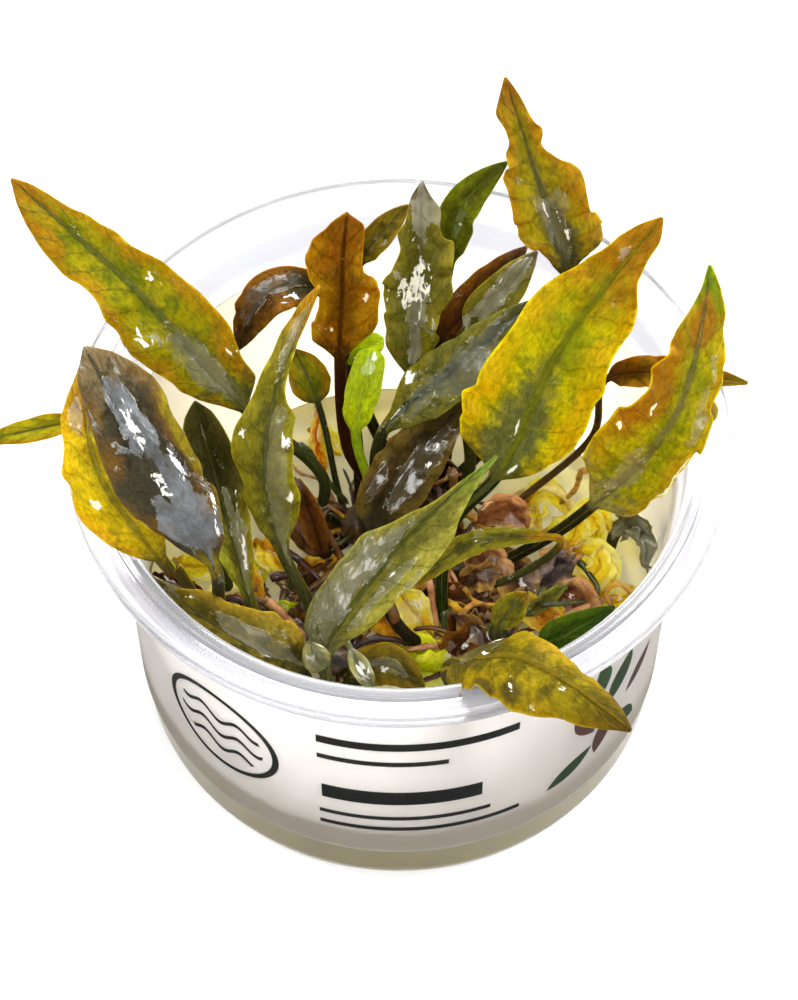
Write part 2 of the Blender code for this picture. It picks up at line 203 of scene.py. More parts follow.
        finish="dark_olive", width=7, widest=0.42, film=[(0.5, 0, 0.4, 0.6)],
        glint=[(0.45, 0.3, 0.14, 0.3)])),
    "bright": ("back", 346, blade(
        [(-4.5, 12, 31), (-7, 16, 42), (-6, 18.5, 48), (-4, 25, 52)], (30, 30), (35, 35), (0.2, 2),
        finish="lime", thick=1.6,
        left=[1.2, 1.6, 2, 2.3, 2.5, 2.6, 2.7, 2.8, 2.8, 2.8, 2.7, 2.7, 2.6, 2.4, 2],
        right=[1.2, 1.6, 2, 2.3, 2.5, 2.6, 2.7, 2.8, 2.8, 2.8, 2.7, 2.6, 2.5, 2.3, 1.9],
        film=[(0.8, 0, 0.2, 0.6)], glint=[(0.9, 0.1, 0.14, 0.6), (0.45, -0.3, 0.1, 0.2)],
        lobes=[
            blade([(-8, 25.5, 47.5), (-7.5, 26, 49), (-5, 25.5, 52), (-2.5, 26.5, 53)], (15, 15), (0, 0),
                (0.2, 2), width=4.4, widest=0.6, thick=0.9)])),
    "mid_slim": ("rear", 355, blade(
        [(11, 26, 56), (16.5, 27.5, 64), (21.5, 30.5, 70)], (18, 18), (0, 0), (0.2, 2), finish="wet_grey",
        width=7, widest=0.4, film=[(0.5, 0, 0.6, 0.9)], glint=[(0.6, -0.5, 0.2, 0.3)])),
    "mid_grey": ("rear", 195, blade(
        [(-2.5, 17.5, 40), (9, 19.5, 54.5), (21, 24, 66)], (12, 18), (-20, -10), (0.35, 4), finish="slate",
        left=[0.8, 1, 2, 3.5, 4.5, 4.5, 4.5, 4.5, 4, 3.5, 3.5, 3, 2.5, 2, 1.2],
        right=[1.5, 2.5, 3.5, 4, 4.5, 4.5, 4.5, 5, 5, 5, 5, 4.5, 3.5, 2.5, 1.5],
        film=[(0.55, 0.1, 0.5, 0.9)], glint=[(0.3, -0.75, 0.06, 0.3), (0.12, -0.2, 0.1, 0.3)],
        stain=[(0.2, -0.9, 0.35, 0.4)])),
    "mid_dark": ("front", 172, blade(
        [(2.5, -11.5, 22), (-4.5, 5, 29), (2, 13.5, 36.5), (11, 20.5, 44.5)], (20, 20), (-30, -30),
        (0.5, 4), finish="bronze", width=11, widest=0.4, film=[(0.5, 0.3, 0.5, 0.5), (0.3, -0.6, 0.2, 0.3)],
        glint=[(0.55, 0.5, 0.07, 0.25), (0.4, -0.5, 0.1, 0.15)])),
    "back_brown": ("rear", 52, blade(
        [(6.5, 27.5, 50), (13.5, 30.5, 60), (20, 33, 68)], (16, 16), (0, 0), (0.3, 3), finish="red_brown",
        width=7, widest=0.42, film=[(0.6, 0.5, 0.4, 0.5)], glint=[(0.5, 0.5, 0.2, 0.3)])),
    "back_left": ("back", 86, blade(
        [(-8, 26.5, 36), (-13, 35.5, 54), (-20.5, 30, 60), (-26, 28, 48)], (16, 16), (-30, 20), (0.4, 4),
        finish="russet", width=7.5, widest=0.42, film=[(0.5, 0.3, 0.5, 0.6)], glint=[(0.3, -0.5, 0.2, 0.3)],
        stain=[(0.15, 0, 0.3, 1.2)])),
    "rear_brown": ("rear", 136, blade(
        [(-6.5, 38, 58), (-2.5, 39.5, 64), (1.5, 41.5, 68)], (20, 20), (30, 30), (0.2, 2),
        finish="dark_olive", width=5.2, widest=0.45)),
    "far_left": ("west", 120, blade(
        [(-35, -4, 52), (-39, -3, 66), (-47, -2, 69.8), (-55, -3, 69), (-62.5, -4.5, 68)], (22, 22), (0, 0),
        (0.2, 3), finish="amber_olive", width=4, widest=0.4)),
    "right_small": ("right", 52, blade(
        [(31.5, 17.5, 38), (33, 15, 58), (41.5, 10, 66), (53, 8, 66)], (24, 24), (30, 30), (0.5, 4),
        finish="curl", width=5.6, widest=0.4, thick=1.2)),
    "low_olive": ("back", 118, blade(
        [(-13.5, 26, 36), (-15, 29, 39), (-17.5, 32.5, 42)], (14, 14), (0, 0), (0.3, 3),
        finish="amber_olive", width=7, widest=0.4, thick=1.1)),
    "front_green": ("front", 335, blade(
        [(22.5, -17, 30), (27.5, -18, 36), (33.5, -16, 40)], (14, 14), (0, 0), (0.2, 2), finish="green",
        width=6.5, widest=0.4)),
    "front_tip": ("front", 20, blade(
        [(15.5, -15, 32), (17.5, -14, 36), (20, -13.5, 40)], (20, 20), (0, 0), (0.3, 3), finish="wet_olive",
        width=5.4, widest=0.5)),
    "old": ("back", 218, blade(
        [(-12.5, 2.5, 27), (-14, 4, 34), (-16, 6.5, 42)], (20, 20), (20, 20), (0.4, 3), finish="red_brown",
        width=4.4, widest=0.45)),
}
# Loose and dying pieces on the gel
LOOSE = {
    "curled_green": blade(
        [(34.5, 4.5, 20), (36, 7, 26), (39, 4.5, 31), (41, -0.5, 27)], (30, 30), (60, 60), (0.7, 4),
        finish="wet_grey", width=5.4, crumple=0.5, film=[(0.5, 0, 0.9, 1.4)], glint=[(0.5, 0.3, 0.4, 0.4)]),
    "rolled_yellow": blade(
        [(31, 5, 20), (32, 6.5, 21.5), (32, 8, 28), (29.5, 11, 27)], (40, 40), (90, 90), (0.3, 2),
        finish="straw", width=5.5, crumple=0.3),
    "withered_purple": blade(
        [(20.5, -2.5, 19.5), (22, -1.5, 20.5), (25.5, 0.5, 23), (30, 3.5, 24)], (10, 10), (-50, -50),
        (0.5, 4), finish="mauve", width=7.5, crumple=0.9),
    "withered_brown": blade(
        [(8.5, -6, 19.5), (10.5, -5.5, 20), (13.5, -5, 22), (17, -2.5, 22)], (10, 10), (-50, -50), (0.5, 4),
        finish="mauve_brown", width=6.5, crumple=0.9),
    "torn_yellow": blade(
        [(29.5, -1.5, 19.5), (30.5, -0.5, 21), (32.5, 0, 25), (33, 3, 28)], (16, 16), (30, -30), (0.7, 4),
        finish="straw", width=6, crumple=0.4),
    "hoop_straw": blade(
        [(21, 16, 19.5), (22, 16, 22.5), (25, 16, 26), (28.5, 15, 23)], (20, 20), (40, 40), (0.1, 2),
        finish="straw", width=2.6, crumple=0.2),
    "strip_green": blade(
        [(20, -6, 20), (21.5, -6, 22), (24, -5.5, 25), (27, -3, 25)], (20, 20), (20, 20), (0.2, 3),
        finish="jade", width=3, crumple=0.2),
}
UPRIGHT = 0.7               # how much more upright than its chord a stalk leaves its foot
FACE = (-90, 55)            # bearing and rise of where a blade's upper side looks, in degrees
STALK = 2.0                 # stalk's thickness
SKIN = 0.64                 # blade's thickness in the visual model
WIDEST = 0.38               # part of the blade at which one without measured widths is widest
NARROWEST = 0.25            # half width at a tip
PARTS = 16                  # parts of a blade between which widths are measured
ROLL_FROM = 0.55            # part of the half width where the margin starts to turn
RIB = (0.45, 0.7)           # height and half width of the midrib
VEIN_SLANT = 1.3            # vein gaps by which a side vein has moved on where it meets the margin
QUILT = 0.2                 # depth of the tissue's swelling between side veins
UNEVEN = ((0.3, 8, 3), (0.11, 3.2, 5))      # height and length of a blade's bumps, and their seeds

# Leaf finishes: a colour for each of the tones, how much light comes through, how widely the water
# film lies, how much its painted grey sheen greys the leaf, and what differs from the usual numbers
# below: how strongly the midrib's band shows (deep), where the coloured tip starts (top), how even and
# how bumpy the film is, how light the tissue is, and the colours of the underside and the stalk. The
# sheen tone is a reflection painted into the film patches; the glow tone colours the light that comes
# through and is also painted along each margin as a backlit rim
TONES = ("blade", "blotch", "margin", "rib", "foot", "tip", "stain", "sheen", "glow")
USUAL = dict(deep=0.5, top=0.5, even=0.5, glaze=0.9, light=0.88, under="#77734A")
FINISHES = {
    "amber_olive": (
        "#9A9208 #6C7408 #A87E0A #5E6228 #3E4420 #96620C #6C6A3C #8A8868 #D8C008", 0.45, 0.3, 0.5, {}),
    "yellow_left": (
        "#CCB810 #A8980C #D8B40C #7A7220 #5C5624 #8A6418 #8C6416 #A09880 #F0D808", 0.5, 0.25, 0.45, {}),
    "silver_grey": (
        "#3C3626 #2A261C #6A4E1E #3C3A2C #3A3824 #84704C #8C7A18 #666C70 #8A7A20", 0.25, 0.7, 0.9,
        dict(even=0.25)),
    "wet_olive": (
        "#827A1A #56541A #8A8018 #5A5A34 #44441E #8A5C10 #A87A10 #86824E #C0B418", 0.35, 0.6, 0.6, {}),
    "amber": (
        "#92640A #72520A #A8860E #4A2A08 #3A200C #7C5610 #B0900C #9A7A4C #ECB810", 0.5, 0.2, 0.4,
        dict(deep=0.3)),
    "curl": (
        "#84600C #644808 #A8780E #5E3C10 #6A4A20 #6A6410 #84600C #9A8460 #D09010", 0.45, 0.3, 0.5,
        dict(stalk="#64502A")),
    "wet_grey": (
        "#6C6620 #565214 #80741C #5A5634 #4A4A1A #6A5C48 #7A7412 #A8A488 #A8A020", 0.35, 0.6, 0.6, {}),
    "green": (
        "#3E5A0E #2E460C #5E7412 #52661C #26340E #34460E #3E5A0E #889A74 #7CA810", 0.35, 0.3, 0.5, {}),
    "olive_grey": (
        "#A09010 #80760F #AC800E #5A5A34 #3E402A #8A5A14 #4C4E2C #8E8A60 #C8A80C", 0.45, 0.4, 0.4, {}),
    "yellow": (
        "#BCB206 #8A9004 #CCAC08 #6C7010 #3A4420 #905C08 #5E6238 #86866A #FAF000", 0.5, 0.15, 0.5,
        dict(stalk="#26300E", top=0.34)),
    "yellow_right": (
        "#A8A008 #7E8408 #B49410 #6E6A3A #8A8650 #5A7A10 #9A6A10 #9A9272 #F4E408", 0.5, 0.2, 0.45,
        dict(stalk="#2A2C12")),
    "jade": (
        "#726C26 #5C5A20 #A09838 #4A4E1A #706E48 #6E8A2C #6E6A42 #807E5E #A8A838", 0.4, 0.45, 0.35,
        dict(even=0.7, glaze=0.35)),
    "yellow_front": (
        "#887808 #5C520A #967A08 #6A5A0C #504A1C #46340A #4C4216 #767250 #DCC00C", 0.4, 0.35, 0.4,
        dict(top=0.5)),
    "dark_olive": (
        "#7A6A18 #4C4410 #8A7018 #56522A #2E2C0E #54480E #44420E #6E6836 #C8A410", 0.35, 0.5, 0.45, {}),
    "dusk": (
        "#72701A #4E4C12 #8E801A #4C4A20 #56561E #2C260E #8E8E20 #949068 #BCB418", 0.35, 0.6, 0.6,
        dict(top=0.12)),
    "moss": (
        "#666A10 #4E500E #74780E #667020 #3A4410 #4A4A10 #566410 #96A070 #A8B810", 0.4, 0.3, 0.5, {}),
    "lime": (
        "#BCC60C #98A80A #A8B41C #A8B82C #8A9A14 #A0BC18 #86AC10 #CCD8A0 #E4EC08", 0.5, 0.3, 0.4, {}),
    "slate": (
        "#767024 #484A1E #6C6828 #2C3424 #34361A #4C4C2C #7A7014 #6E7058 #8A8A20", 0.3, 0.65, 0.75,
        dict(deep=0.9, even=0.2)),
    "bronze": (
        "#40300F #2A220C #5E4C18 #2E2410 #26220C #5A4820 #40300F #504828 #8A6410", 0.3, 0.4, 0.35,
        dict(glaze=0.3)),
    "russet": (
        "#6A4410 #3C2A0E #8A5C14 #3A2A10 #2A2614 #5A4420 #33311C #6E6858 #C07C10", 0.4, 0.5, 0.5, {}),
    "red_brown": (
        "#5C3410 #44260C #7A4C14 #38200A #2E1C0C #6A5038 #5C3410 #8E7C6C #A0600C", 0.35, 0.4, 0.55, {}),
    # Old leaf on the gel: light 1.1 lifts the brightest colours past full reflectance, a painted glow
    # standing in for the light table shining up through the gel
    "straw": (
        "#F6DC3C #E2B424 #FAF0A0 #B89020 #A88420 #DCB060 #D8B828 #F0E8C0 #FFF060", 0.6, 0.4, 0.45,
        dict(under="#E8DCA0", deep=0.15, light=1.1)),
    "mauve": (
        "#7C6A64 #3A302E #D8A868 #42342F #2E2626 #C89450 #B48868 #B4B0B4 #A87850", 0.3, 0.7, 0.7,
        dict(under="#8C7468", deep=0.2, light=1.1)),
    "mauve_brown": (
        "#6E4C2A #382214 #B08840 #4E3024 #402A20 #9A6C3C #74462E #94806E #A87C48", 0.4, 0.55, 0.5,
        dict(under="#A08468", deep=0.2, light=1.1)),
    "honey": (
        "#E4B428 #B47C14 #F8DC58 #B0740C #94640C #E0A428 #E8B020 #F4E4B0 #FFD030", 0.6, 0.5, 0.45,
        dict(under="#E0C888", deep=0.2, light=1.1)),
    "rose": (
        "#94663A #54301C #D8B478 #7A4A28 #6A4024 #B88C50 #8C5C38 #CDB49C #D8B470", 0.55, 0.5, 0.5,
        dict(under="#D0B080", deep=0.2, light=1.1)),
    "acid": (
        "#DCE020 #B0B810 #F4F040 #9A9A14 #8A8814 #C8B818 #BCC010 #ECECB0 #F8FF30", 0.6, 0.4, 0.4,
        dict(under="#D0D480", deep=0.15, light=1.1)),
}

# Strands of old stalk and root seen between the leaves: group, thickness, places in mm
STRANDS = [
    ("olive", 1.3, [(-16.5, 13, 42), (-13, 14.5, 32), (-8.5, 15, 22)]),
    ("rust", 1.9, [(-18, 11, 36), (-14.5, 8, 29), (-9, 4.5, 20)]),
    ("rust", 1.6, [(-19, 6.5, 28), (-15.5, 5.5, 23), (-11, 4, 20)]),
    ("rust", 1.5, [(-16, 8.5, 33), (-11.5, 6, 26), (-8, 2, 20)]),
    ("rust", 1.8, [(-1.5, -7.5, 27), (0, -10, 23), (5, -12, 21), (12, -11.5, 21)]),
    ("pink", 1.5, [(-21, -9, 30), (-18, -10.5, 27), (-15, -12, 24)]),
    ("amber", 0.8, [(10.5, -4, 26), (12, -5, 24), (15, -6, 24), (17.5, -6.5, 25)]),
    ("amber", 0.8, [(16.5, 5.5, 24), (16, 3, 22), (17.5, -1, 22), (21, -4, 23)]),
    ("amber", 1.4, [(11, 10, 27), (13.5, 9, 25), (16, 9, 23)]),
    ("amber", 1.2, [(15.5, 6, 26), (17, 5.5, 24), (19, 5.5, 22)]),
    ("pink", 1.2, [(4.5, -5.5, 32), (5.5, -7, 26), (6.5, -9.5, 21)]),
    ("olive", 0.9, [(23, -7.5, 26), (26.5, -7, 26), (30.5, -6, 25)]),
    ("olive", 1.1, [(29.5, 1, 26), (31, -0.5, 25), (32.5, -3, 24), (31.5, -4.5, 22)]),
    ("rust", 1.1, [(-23.5, -5, 24), (-20.5, -6, 22), (-16.5, -6.5, 21)]),
    ("amber", 1.2, [(-28.5, -2, 22), (-24.5, -3.5, 22), (-21, -4, 22)]),
    ("pale", 0.7, [(-15, 34, 26), (-13, 30, 22), (-13.5, 26.5, 20), (-11, 24, 19)]),
    ("amber", 1.0, [(-14, 32.5, 24), (-14.5, 28, 22), (-13, 23.5, 20)]),
    ("pink", 1.3, [(6.5, -1, 30), (8.5, -3, 25), (11.5, -4, 22)]),
    ("rust", 1.6, [(8.5, 9.5, 40), (9, 9, 32), (10.5, 8.5, 24)]),
    ("rust", 1.2, [(11.5, 9, 38), (10, 8, 32), (8.5, 7.5, 24)]),
    ("rust", 1.3, [(-2.5, -11.5, 22), (1.5, -14.5, 21), (7.5, -16, 21)]),
    ("pink", 1.2, [(26.5, -9, 24), (31, -5.5, 23), (36, -3, 22)]),
    ("amber", 1.0, [(34.5, -6, 24), (33.5, -5, 26), (35.5, -4.5, 28), (37.5, -5.5, 27), (37, -6, 24)]),
    ("olive", 1.2, [(35, 14, 34), (34.5, 13, 26), (34, 13, 20)]),
    ("amber", 1.1, [(30, 9.5, 40), (29, 12.5, 30), (27, 15, 22)]),
    ("olive", 1.9, [(7.2, -7, 24), (8, -9.2, 21.5), (10.5, -12, 20.5), (13.5, -13.5, 21)]),
    ("plum", 1.5, [(-21, -1, 24), (-16, 0.5, 23), (-11, 4, 22)]),
    ("plum", 1.3, [(-19, 4, 25), (-14.5, 1, 23), (-10, -3, 21)]),
    ("rust", 1.2, [(-17, -4.5, 23), (-13, -1, 23), (-9.5, 3.5, 23)]),
    ("plum", 1.2, [(14, -2.5, 24), (11.5, -4, 22.5), (8, -7, 21)]),
    ("pale", 1.7, [(19, 15.5, 21), (21.5, 15, 26), (24.5, 14.5, 28), (27.5, 14, 26), (29.5, 13.5, 21)]),
]
STRAND_COLOURS = {
    "pale": ("#F4E890", "#D8BC48"), "amber": ("#D09A28", "#7E4E10"), "rust": ("#7A4C18", "#3C260C"),
    "olive": ("#44500E", "#26300A"), "pink": ("#D09A68", "#985C34"),
    # Plum strands are dark old stalks made near-black, so they also paint shade into the gaps of the bed
    "plum": ("#4E241A", "#1E0C08"),
}
# Beds of old leaf on the gel: finish, middle and height in mm, reach, count, longest and widest
BEDS = [
    ("honey", (6, -3, 20.5), 6, 6, 10, 5), ("mauve_brown", (17, -2, 20.5), 5, 6, 9, 6),
    ("rose", (12, -6, 20.5), 6, 6, 10, 5), ("honey", (28, -6, 20), 5, 5, 9, 4),
    ("straw", (-27, -4, 20), 6, 5, 9, 6), ("red_brown", (-15, -2, 20.5), 6, 6, 10, 3.5),
    ("honey", (-8, -4, 20.5), 6, 5, 10, 5), ("straw", (0, 10, 20), 7, 6, 8, 4),
    ("straw", (24, 12, 20.5), 5, 4, 9, 5), ("jade", (23, -7, 22), 4, 3, 9, 3),
    ("red_brown", (8, 8, 22), 4, 4, 9, 3), ("acid", (-22, -3, 20), 8, 5, 9, 5),
]
SCRAP = dict(widest=0.5, thick=0.9, body=0.35)
LOOSE_SEED, LOBE_SEED, SHRED_SEED = 50, 100, 300
ROOTS, OLD_STALKS = 11, 14            # of each crown
SCRAP_REACH, ROOT_REACH = 37, 38      # how far from the axis scraps' middles and roots may lie
# Larger pieces of old leaf lying on them: finish, places in mm, width, fold, roll, crumple
SHREDS = [
    ("acid", [(1.5, -15.5, 20), (6.5, -17, 21.5), (12, -14.5, 20.5)], 7.5, 10, 20, 0.25),
    ("acid", [(0, -11.5, 19.5), (4, -13.5, 21), (8.5, -15.5, 20)], 6.5, 15, -30, 0.3),
    ("straw", [(0, -3, 23), (2.5, -6.5, 22.5), (5.5, -10, 20.5)], 7, 20, -40, 0.25),
    ("honey", [(-4.5, -4.5, 21), (-2, -7.5, 21.5), (0, -10.5, 20)], 5.5, 20, 40, 0.3),
    ("rose", [(11, 5.5, 24), (14.5, 2, 24), (17, -2.5, 22)], 7.5, 15, -50, 0.35),
    ("mauve_brown", [(16.5, 5, 24), (19, 0.5, 23), (20, -5.5, 21)], 7.5, 15, -50, 0.4),
    ("rose", [(13, 9, 26), (17.5, 10, 28), (21.5, 7.5, 26)], 6, 20, 30, 0.3),
    ("straw", [(28, 5.5, 24), (31.5, 9.5, 28), (35, 7, 26)], 7, 30, 70, 0.15),
    ("straw", [(29.5, 5, 23), (32.5, 2, 25), (35.5, -1, 22)], 7, 12, 20, 0.2),
    ("rose", [(25.5, -1.5, 22), (28.5, -4.5, 23), (31.5, -8.5, 20.5)], 8, 12, -40, 0.25),
    ("honey", [(19.5, -3.5, 21), (23.5, -6.5, 22), (27, -9, 20.5)], 6, 15, 40, 0.3),
    ("straw", [(32.5, -1.5, 20.5), (36, -3.5, 21), (38.5, 0, 20.5)], 6, 10, 20, 0.25),
    ("straw", [(-23.5, 8, 21), (-20.5, 4.5, 22), (-18, 1.5, 20.5)], 6, 20, 40, 0.3),
    ("honey", [(-28, 5, 20.5), (-25, 0.5, 21.5), (-22.5, -3, 20)], 5, 20, -40, 0.3),
    ("straw", [(-15, 31, 20.5), (-12, 28, 21.5), (-10, 26, 20)], 5, 15, 30, 0.3),
    ("honey", [(-13.5, 28.5, 30), (-14, 25.5, 26), (-12.5, 22.5, 21)], 3, 40, 60, 0.2),
    ("honey", [(6, -4, 22), (8.5, -7.5, 22), (11.5, -10.5, 20.5)], 6, 20, 50, 0.3),
    ("straw", [(-10, -3.5, 21), (-8, -6, 21.5), (-6, -9, 20)], 5, 20, 40, 0.3),
    ("rose", [(-19, 11, 26), (-16.5, 8.5, 24), (-13.5, 5.5, 21)], 4, 30, 50, 0.2),
    ("acid", [(-6, 13, 22), (-2, 9, 22.5), (2, 4, 21)], 5, 20, 40, 0.3),
    ("straw", [(20, 14, 21), (24, 17, 24), (29, 14, 21)], 5, 25, 60, 0.2),
    ("red_brown", [(-18, 2, 20), (-15, -0.5, 21.5), (-10.5, 2, 20)], 6, 20, 30, 0.3),
    ("honey", [(-16.5, 4.5, 20.5), (-13.5, 2.5, 22), (-10, 4.5, 20.5)], 4, 20, 40, 0.3),
    ("mauve_brown", [(-19, -2.5, 20), (-16.5, -5, 21), (-11.5, -2.5, 20)], 5, 20, 40, 0.3),
    ("red_brown", [(-9, 2.5, 23), (-10.5, 0, 22), (-13, -2.5, 20)], 5, 20, 50, 0.3),
    ("straw", [(-37, 5, 20), (-33.5, 2.5, 22), (-29, 5, 20)], 5.5, 20, 40, 0.3),
    ("mauve_brown", [(-29.5, -0.5, 20), (-25.5, -3, 21.5), (-22, -0.5, 20)], 5, 20, 40, 0.3),
    ("red_brown", [(-40, 2, 20), (-35.5, -1.5, 21), (-31.5, -2.5, 20)], 5, 20, 40, 0.3),
    ("honey", [(-24, 8, 20), (-20.5, 5, 22), (-18.5, 8, 20)], 4.5, 20, 40, 0.3),
    ("red_brown", [(7.5, -14.5, 21), (10.5, -14, 25.5), (14, -11, 23.5)], 6.5, 20, 40, 0.3),
    ("mauve_brown", [(9.5, -9, 25), (12, -11.5, 25.5), (14.5, -14.5, 22)], 5, 20, 50, 0.3),
    ("mauve_brown", [(10, -1, 22), (13, -1.5, 25.5), (17, 0, 24)], 5.5, 20, 40, 0.3),
    ("red_brown", [(4, -2, 21), (8, -4, 24), (12, -4, 22)], 5, 20, 40, 0.3),
]


class CupSettings(bpy.types.PropertyGroup):
    """Sizes and colours of the cup, the gel and the label."""
    plastic: FloatVectorProperty(
        name="Plastic", description="Tint of the clear cup", subtype="COLOR_GAMMA",
        default=(0.86, 0.862, 0.885), min=0, max=1)
    haze: FloatProperty(
        name="Haze", description="Roughness of the moulded plastic", subtype="FACTOR",
        default=0.2, min=0, max=1)
    clear: FloatProperty(
        name="Clearness", description="Share of light the plastic lets straight through",
        subtype="FACTOR", default=0.86, min=0, max=1)
    gel: FloatVectorProperty(
        name="Gel", description="Colour of the culture gel", subtype="COLOR_GAMMA",
        default=(0.99, 0.975, 0.86), min=0, max=1)
    paper: FloatVectorProperty(
        name="Label", description="Colour of the label's film", subtype="COLOR_GAMMA",
        default=(0.955, 0.945, 0.94), min=0, max=1)
    ink: FloatVectorProperty(
        name="Ink", description="Colour of the label's dark marks", subtype="COLOR_GAMMA",
        default=(0.27, 0.28, 0.26), min=0, max=1)
    label_thick: FloatProperty(
        name="Label Thickness", description="Thickness of the label's film", unit="LENGTH",
        default=0.0003, min=0.0001, max=0.001)


class LeafSettings(bpy.types.PropertyGroup):
    """How fine and how wavy the leaves are."""
    ruffle: FloatProperty(
        name="Ruffle", description="How strongly the margins ruffle", subtype="FACTOR",
        default=1.0, min=0, max=3)
    vein_gap: FloatProperty(
        name="Vein Gap", description="Distance between side veins along a blade", unit="LENGTH",
        default=0.0042, min=0.001, max=0.02)
    across: IntProperty(
        name="Across", description="Steps across half a blade", default=16, min=4, max=60)
    step: FloatProperty(
        name="Step", description="Length of a step along a blade", unit="LENGTH",
        default=0.0005, min=0.0002, max=0.004)


class StageSettings(bpy.types.PropertyGroup):
    """Floor, lights and camera."""
    floor: FloatVectorProperty(
        name="Floor", description="Colour of the studio floor", subtype="COLOR_GAMMA",
        default=(0.7, 0.7, 0.7), min=0, max=1)
    glow: FloatProperty(
        name="Floor Glow", description="Light the opal floor gives off", default=0.75, min=0, max=5)
    lens: FloatProperty(
        name="Lens", description="Focal length in millimetres", default=90, min=20, max=300)
    key: FloatProperty(
        name="Key Light", description="Power of the large soft light", unit="POWER",
        default=5.8, min=0, max=200)
    sky: FloatProperty(
        name="Sky", description="Strength of the even light all round", default=0.75, min=0, max=5)


def linear(colour):
    """A hex string or sRGB triple as linear RGBA."""
    if isinstance(colour, str):
        colour = [int(colour[i:i + 2], 16) / 255 for i in (1, 3, 5)]
    srgb = np.array(colour[:3], float)
    rgb = np.where(srgb <= 0.04045, srgb / 12.92, ((srgb + 0.055) / 1.055) ** 2.4)
    return (*rgb, 1.0)


def per_mm(size):
    """Noise scale on Object coordinates, in metres, for a pattern this many millimetres long."""
    return 1 / (size * MM)


def add_node(tree, kind, inputs=None, **settings):
    """A shader node with its settings; an input takes a value, a socket or a whole node."""
    node = tree.nodes.new("ShaderNode" + kind)
    for name, value in settings.items():
        setattr(node, name, value)
    for key, value in (inputs or {}).items():
        if isinstance(value, bpy.types.Node):
            value = next(out for out in value.outputs if out.enabled)
        if isinstance(value, bpy.types.NodeSocket):
            tree.links.new(value, node.inputs[key])
        else:
            node.inputs[key].default_value = value
    return node


def new_material(name):
    """An empty node material, and the function that adds a node to it."""
    mat = bpy.data.materials.new(name)
    mat.use_nodes = True
    mat.node_tree.nodes.clear()
    return mat, partial(add_node, mat.node_tree)


def end_translucent(add, share, skin, light):
    """End a material: its skin, through which this share of light passes, coloured as given."""
    through = add("BsdfTranslucent", light)
    both = add("MixShader", {0: share, 1: skin, 2: through})
    add("OutputMaterial", {"Surface": both})


def smooth_line(places, where):
    """Points of a smooth curve through the places, at lengths along their chords.

    On each chord it is a cubic whose end slopes are the neighbouring ways, each weighted by the
    other chord's length; a stalk leaves its foot turned a little more upright than its chord.
    """
    places = np.asarray(places, float)
    along = chord_lengths(places)
    chords = np.linalg.norm(np.diff(places, axis=0), axis=1)
    ways = np.diff(places, axis=0) / chords[:, None]
    slopes = np.zeros_like(places)
    slopes[0] = ways[0]
    if places.shape[1] == 3:
        slopes[0] = ways[0] + (0, 0, UPRIGHT)
        slopes[0] /= np.linalg.norm(slopes[0])
    slopes[1:-1] = (ways[:-1] * chords[1:, None] + ways[1:] * chords[:-1, None]) / (
        chords[1:] + chords[:-1])[:, None]
    slopes[-1] = 1.5 * ways[-1] - 0.5 * slopes[-2]
    i = np.clip(np.searchsorted(along, where, side="right") - 1, 0, len(chords) - 1)
    u = ((where - along[i]) / chords[i])[:, None]
    h = chords[i][:, None]
    return ((2 * u**3 - 3 * u**2 + 1) * places[i] + (u**3 - 2 * u**2 + u) * h * slopes[i]
            + (3 * u**2 - 2 * u**3) * places[i + 1] + (u**3 - u**2) * h * slopes[i + 1])


def chord_lengths(places):
    """Running length along the chords between places."""
    steps = np.linalg.norm(np.diff(np.asarray(places, float), axis=0), axis=1)
    return np.concatenate([[0], np.cumsum(steps)])


def lumps(points, size, seed):
    """Smooth noise about -1 to 1: a sum of sine waves of about one length in random directions."""
    rng = np.random.default_rng(seed)
    waves = rng.normal(size=(7, 3))
    waves *= (2 * pi / size / np.linalg.norm(waves, axis=1) * rng.uniform(0.7, 1.4, 7))[:, None]
    return np.sin(points @ waves.T + rng.uniform(0, 2 * pi, 7)).sum(-1) / 3


def unit(vectors):
    """Vectors of length one."""
    return vectors / np.maximum(np.linalg.norm(vectors, axis=-1, keepdims=True), 1e-9)


def rounded(profile, steps=4):
    """A profile whose corners are cut by quadratic curves of the given reach: radius, height."""
    corners = np.array(profile, float)
    points = [corners[0, :2]]
    for before, corner, after in zip(corners, corners[1:], corners[2:]):
        start = corner[:2] + unit(before[:2] - corner[:2]) * corner[2]
        end = corner[:2] + unit(after[:2] - corner[:2]) * corner[2]
        u = np.linspace(0, 1, steps)[:, None]
        points.extend((1 - u) ** 2 * start + 2 * u * (1 - u) * corner[:2] + u**2 * end)
    points.append(corners[-1, :2])
    return np.array(points)


def closed_grid(name, grids, finish, marks=None):
    """One object of closed tubes: each grid is rows of rings, capped at both ends, in mm."""
    points, faces, start = [], [], 0
    for grid in grids:
        rows, cols = grid.shape[:2]
        index = start + np.arange(rows * cols).reshape(rows, cols)
        after = np.roll(index, -1, axis=1)
        quads = np.stack([index[:-1], after[:-1], after[1:], index[1:]], -1).reshape(-1, 4)
        faces.extend(quads.tolist())
        faces.append(index[0, ::-1].tolist())
        faces.append(index[-1].tolist())
        points.append(grid.reshape(-1, 3))
        start += rows * cols
    mesh = bpy.data.meshes.new(name)
    mesh.from_pydata(np.concatenate(points) * MM, [], faces)
    for label, values in (marks or {}).items():
        values = np.ascontiguousarray(values, np.float32).ravel()
        single = len(values) == len(mesh.vertices)
        layer = mesh.attributes.new(label, "FLOAT" if single else "FLOAT_VECTOR", "POINT")
        layer.data.foreach_set("value" if single else "vector", values)
    mesh.materials.append(finish)
    mesh.shade_smooth()
    obj = bpy.data.objects.new(name, mesh)
    bpy.context.scene.collection.objects.link(obj)
    return obj


def stand_for(obj, node):
    """The piece rides on the root and hides the node it stands for."""
    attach(obj, "root")
    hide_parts(node)


